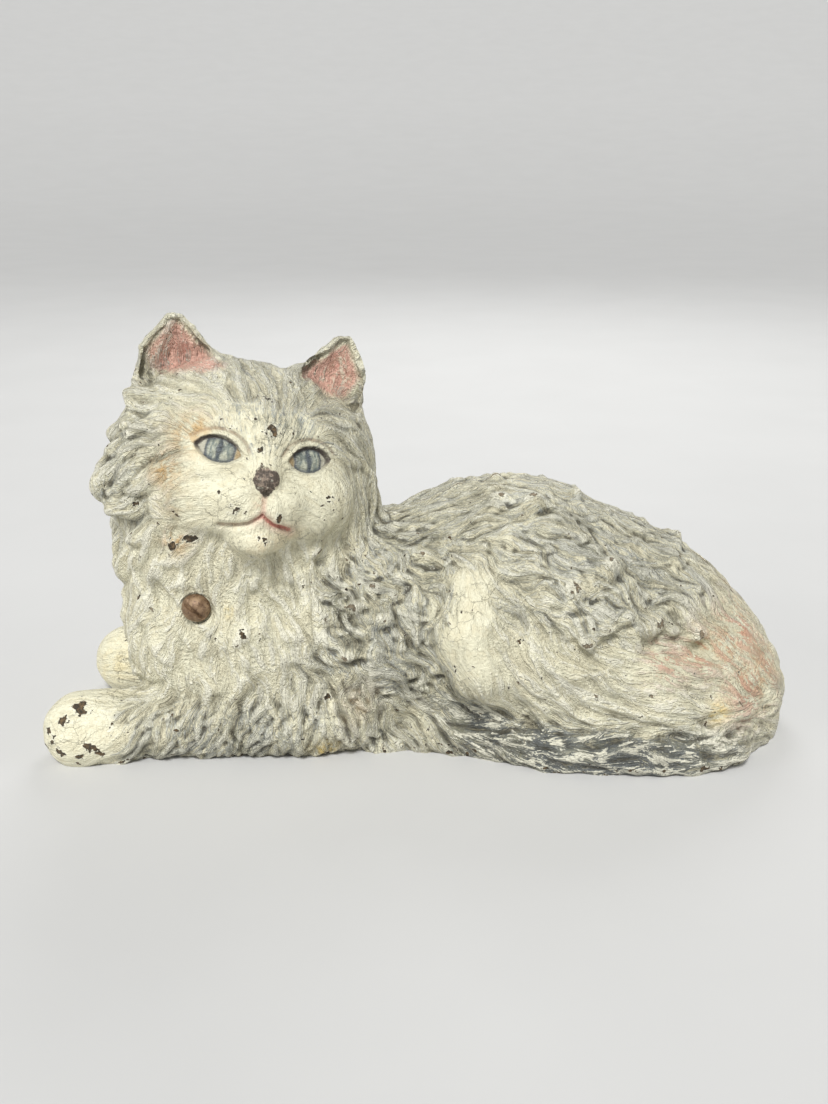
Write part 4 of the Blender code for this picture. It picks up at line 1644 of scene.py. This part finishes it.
# Name, place, size and power
SOFT_LIGHTS = (
    ("fill", (-0.9, -0.5, 0.4), 0.7, 3.2),
    ("side", (0.9, -0.2, 0.6), 0.6, 1.6),
    ("back", (0.1, 0.9, 0.8), 0.6, 4.0),
)
SOFT_LIGHTS_AIM = (0.0, 0.0, 0.05)
SKY = (0.80, 0.80, 0.80, 1.0)
# How strong the sky is as a light, and how bright it looks behind the floor
SKY_STRENGTH = 0.27
SKY_SEEN = 0.70
# The floor's rings: radius and height
FLOOR_RINGS = ((2.5, 0.0), (3.5, 0.06), (5.0, 0.35), (8.0, 1.3), (13.0, 3.1), (20.0, 5.6))
FLOOR_SIDES = 64


def add_floor():
    """A floor that is flat around the bank and rises gently far from it."""

    def make(bm):
        rings = []
        for radius, height in FLOOR_RINGS:
            ring = []
            for step in range(FLOOR_SIDES):
                turn = 2.0 * math.pi * step / FLOOR_SIDES
                ring.append(bm.verts.new((radius * math.cos(turn), radius * math.sin(turn), height)))
            rings.append(ring)
        bm.faces.new(rings[0])
        join_rings(bm, rings)

    floor = add_form("floor", make)
    floor.data.materials.append(pale_floor())
    floor.data.shade_smooth()


def aim(item, towards):
    item.rotation_euler = (Vector(towards) - item.location).to_track_quat("-Z", "Y").to_euler()


def add_camera():
    data = bpy.data.cameras.new("camera")
    data.lens = CAMERA_LENS
    data.sensor_width = SENSOR_WIDTH
    data.clip_start = 0.01
    camera = bpy.data.objects.new("camera", data)
    back = Vector((0.0, -math.cos(CAMERA_RISE), math.sin(CAMERA_RISE)))
    camera.location = Vector(LOOK_AT) + back * CAMERA_DISTANCE
    aim(camera, LOOK_AT)
    bpy.context.scene.collection.objects.link(camera)
    bpy.context.scene.camera = camera


def add_light(name, kind, place, towards, power, **settings):
    data = bpy.data.lights.new(name, kind)
    data.energy = power
    for key, value in settings.items():
        setattr(data, key, value)
    light = bpy.data.objects.new(name, data)
    light.location = place
    aim(light, towards)
    bpy.context.scene.collection.objects.link(light)


def add_lights():
    add_light("key", "SUN", SUN_FROM, (0.0, 0.0, 0.0), SUN_STRENGTH, angle=SUN_ANGLE)
    for name, place, size, power in SOFT_LIGHTS:
        add_light(name, "AREA", place, SOFT_LIGHTS_AIM, power, shape="DISK", size=size)
    world = bpy.data.worlds.new("studio")
    world.use_nodes = True
    background = world.node_tree.nodes["Background"]
    background.inputs["Color"].default_value = SKY
    path = world.node_tree.nodes.new("ShaderNodeLightPath")
    strength = world.node_tree.nodes.new("ShaderNodeMapRange")
    strength.inputs["To Min"].default_value = SKY_STRENGTH
    strength.inputs["To Max"].default_value = SKY_SEEN
    world.node_tree.links.new(path.outputs["Is Camera Ray"], strength.inputs["Value"])
    world.node_tree.links.new(strength.outputs["Result"], background.inputs["Strength"])
    bpy.context.scene.world = world
    bpy.context.scene.view_settings.view_transform = "Standard"


def main():
    add_camera()
    add_lights()
    add_floor()
    sculpt = Sculpt()
    hollow = hollow_form()
    tree = tree_of(sculpt.points)
    outside, inside = painted_iron(), bare_iron()
    front = front_casting(sculpt.item, hollow)
    back = back_casting(sculpt.item, hollow)
    bpy.data.objects.remove(sculpt.item, do_unlink=True)
    bpy.data.objects.remove(hollow, do_unlink=True)
    screw = make_screw(rusted_steel())
    for half in (front, back):
        carry_paint(half, sculpt, tree, outside, inside)
    for piece, body, node, slot in (
        (front, "front_casting", "front_half", "front_paint"),
        (back, "back_casting", "back_half", "back_paint"),
        (screw, "long_screw", "chest_screw", "screw"),
    ):
        to_world(piece)
        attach(piece, body)
        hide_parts(node)


main()
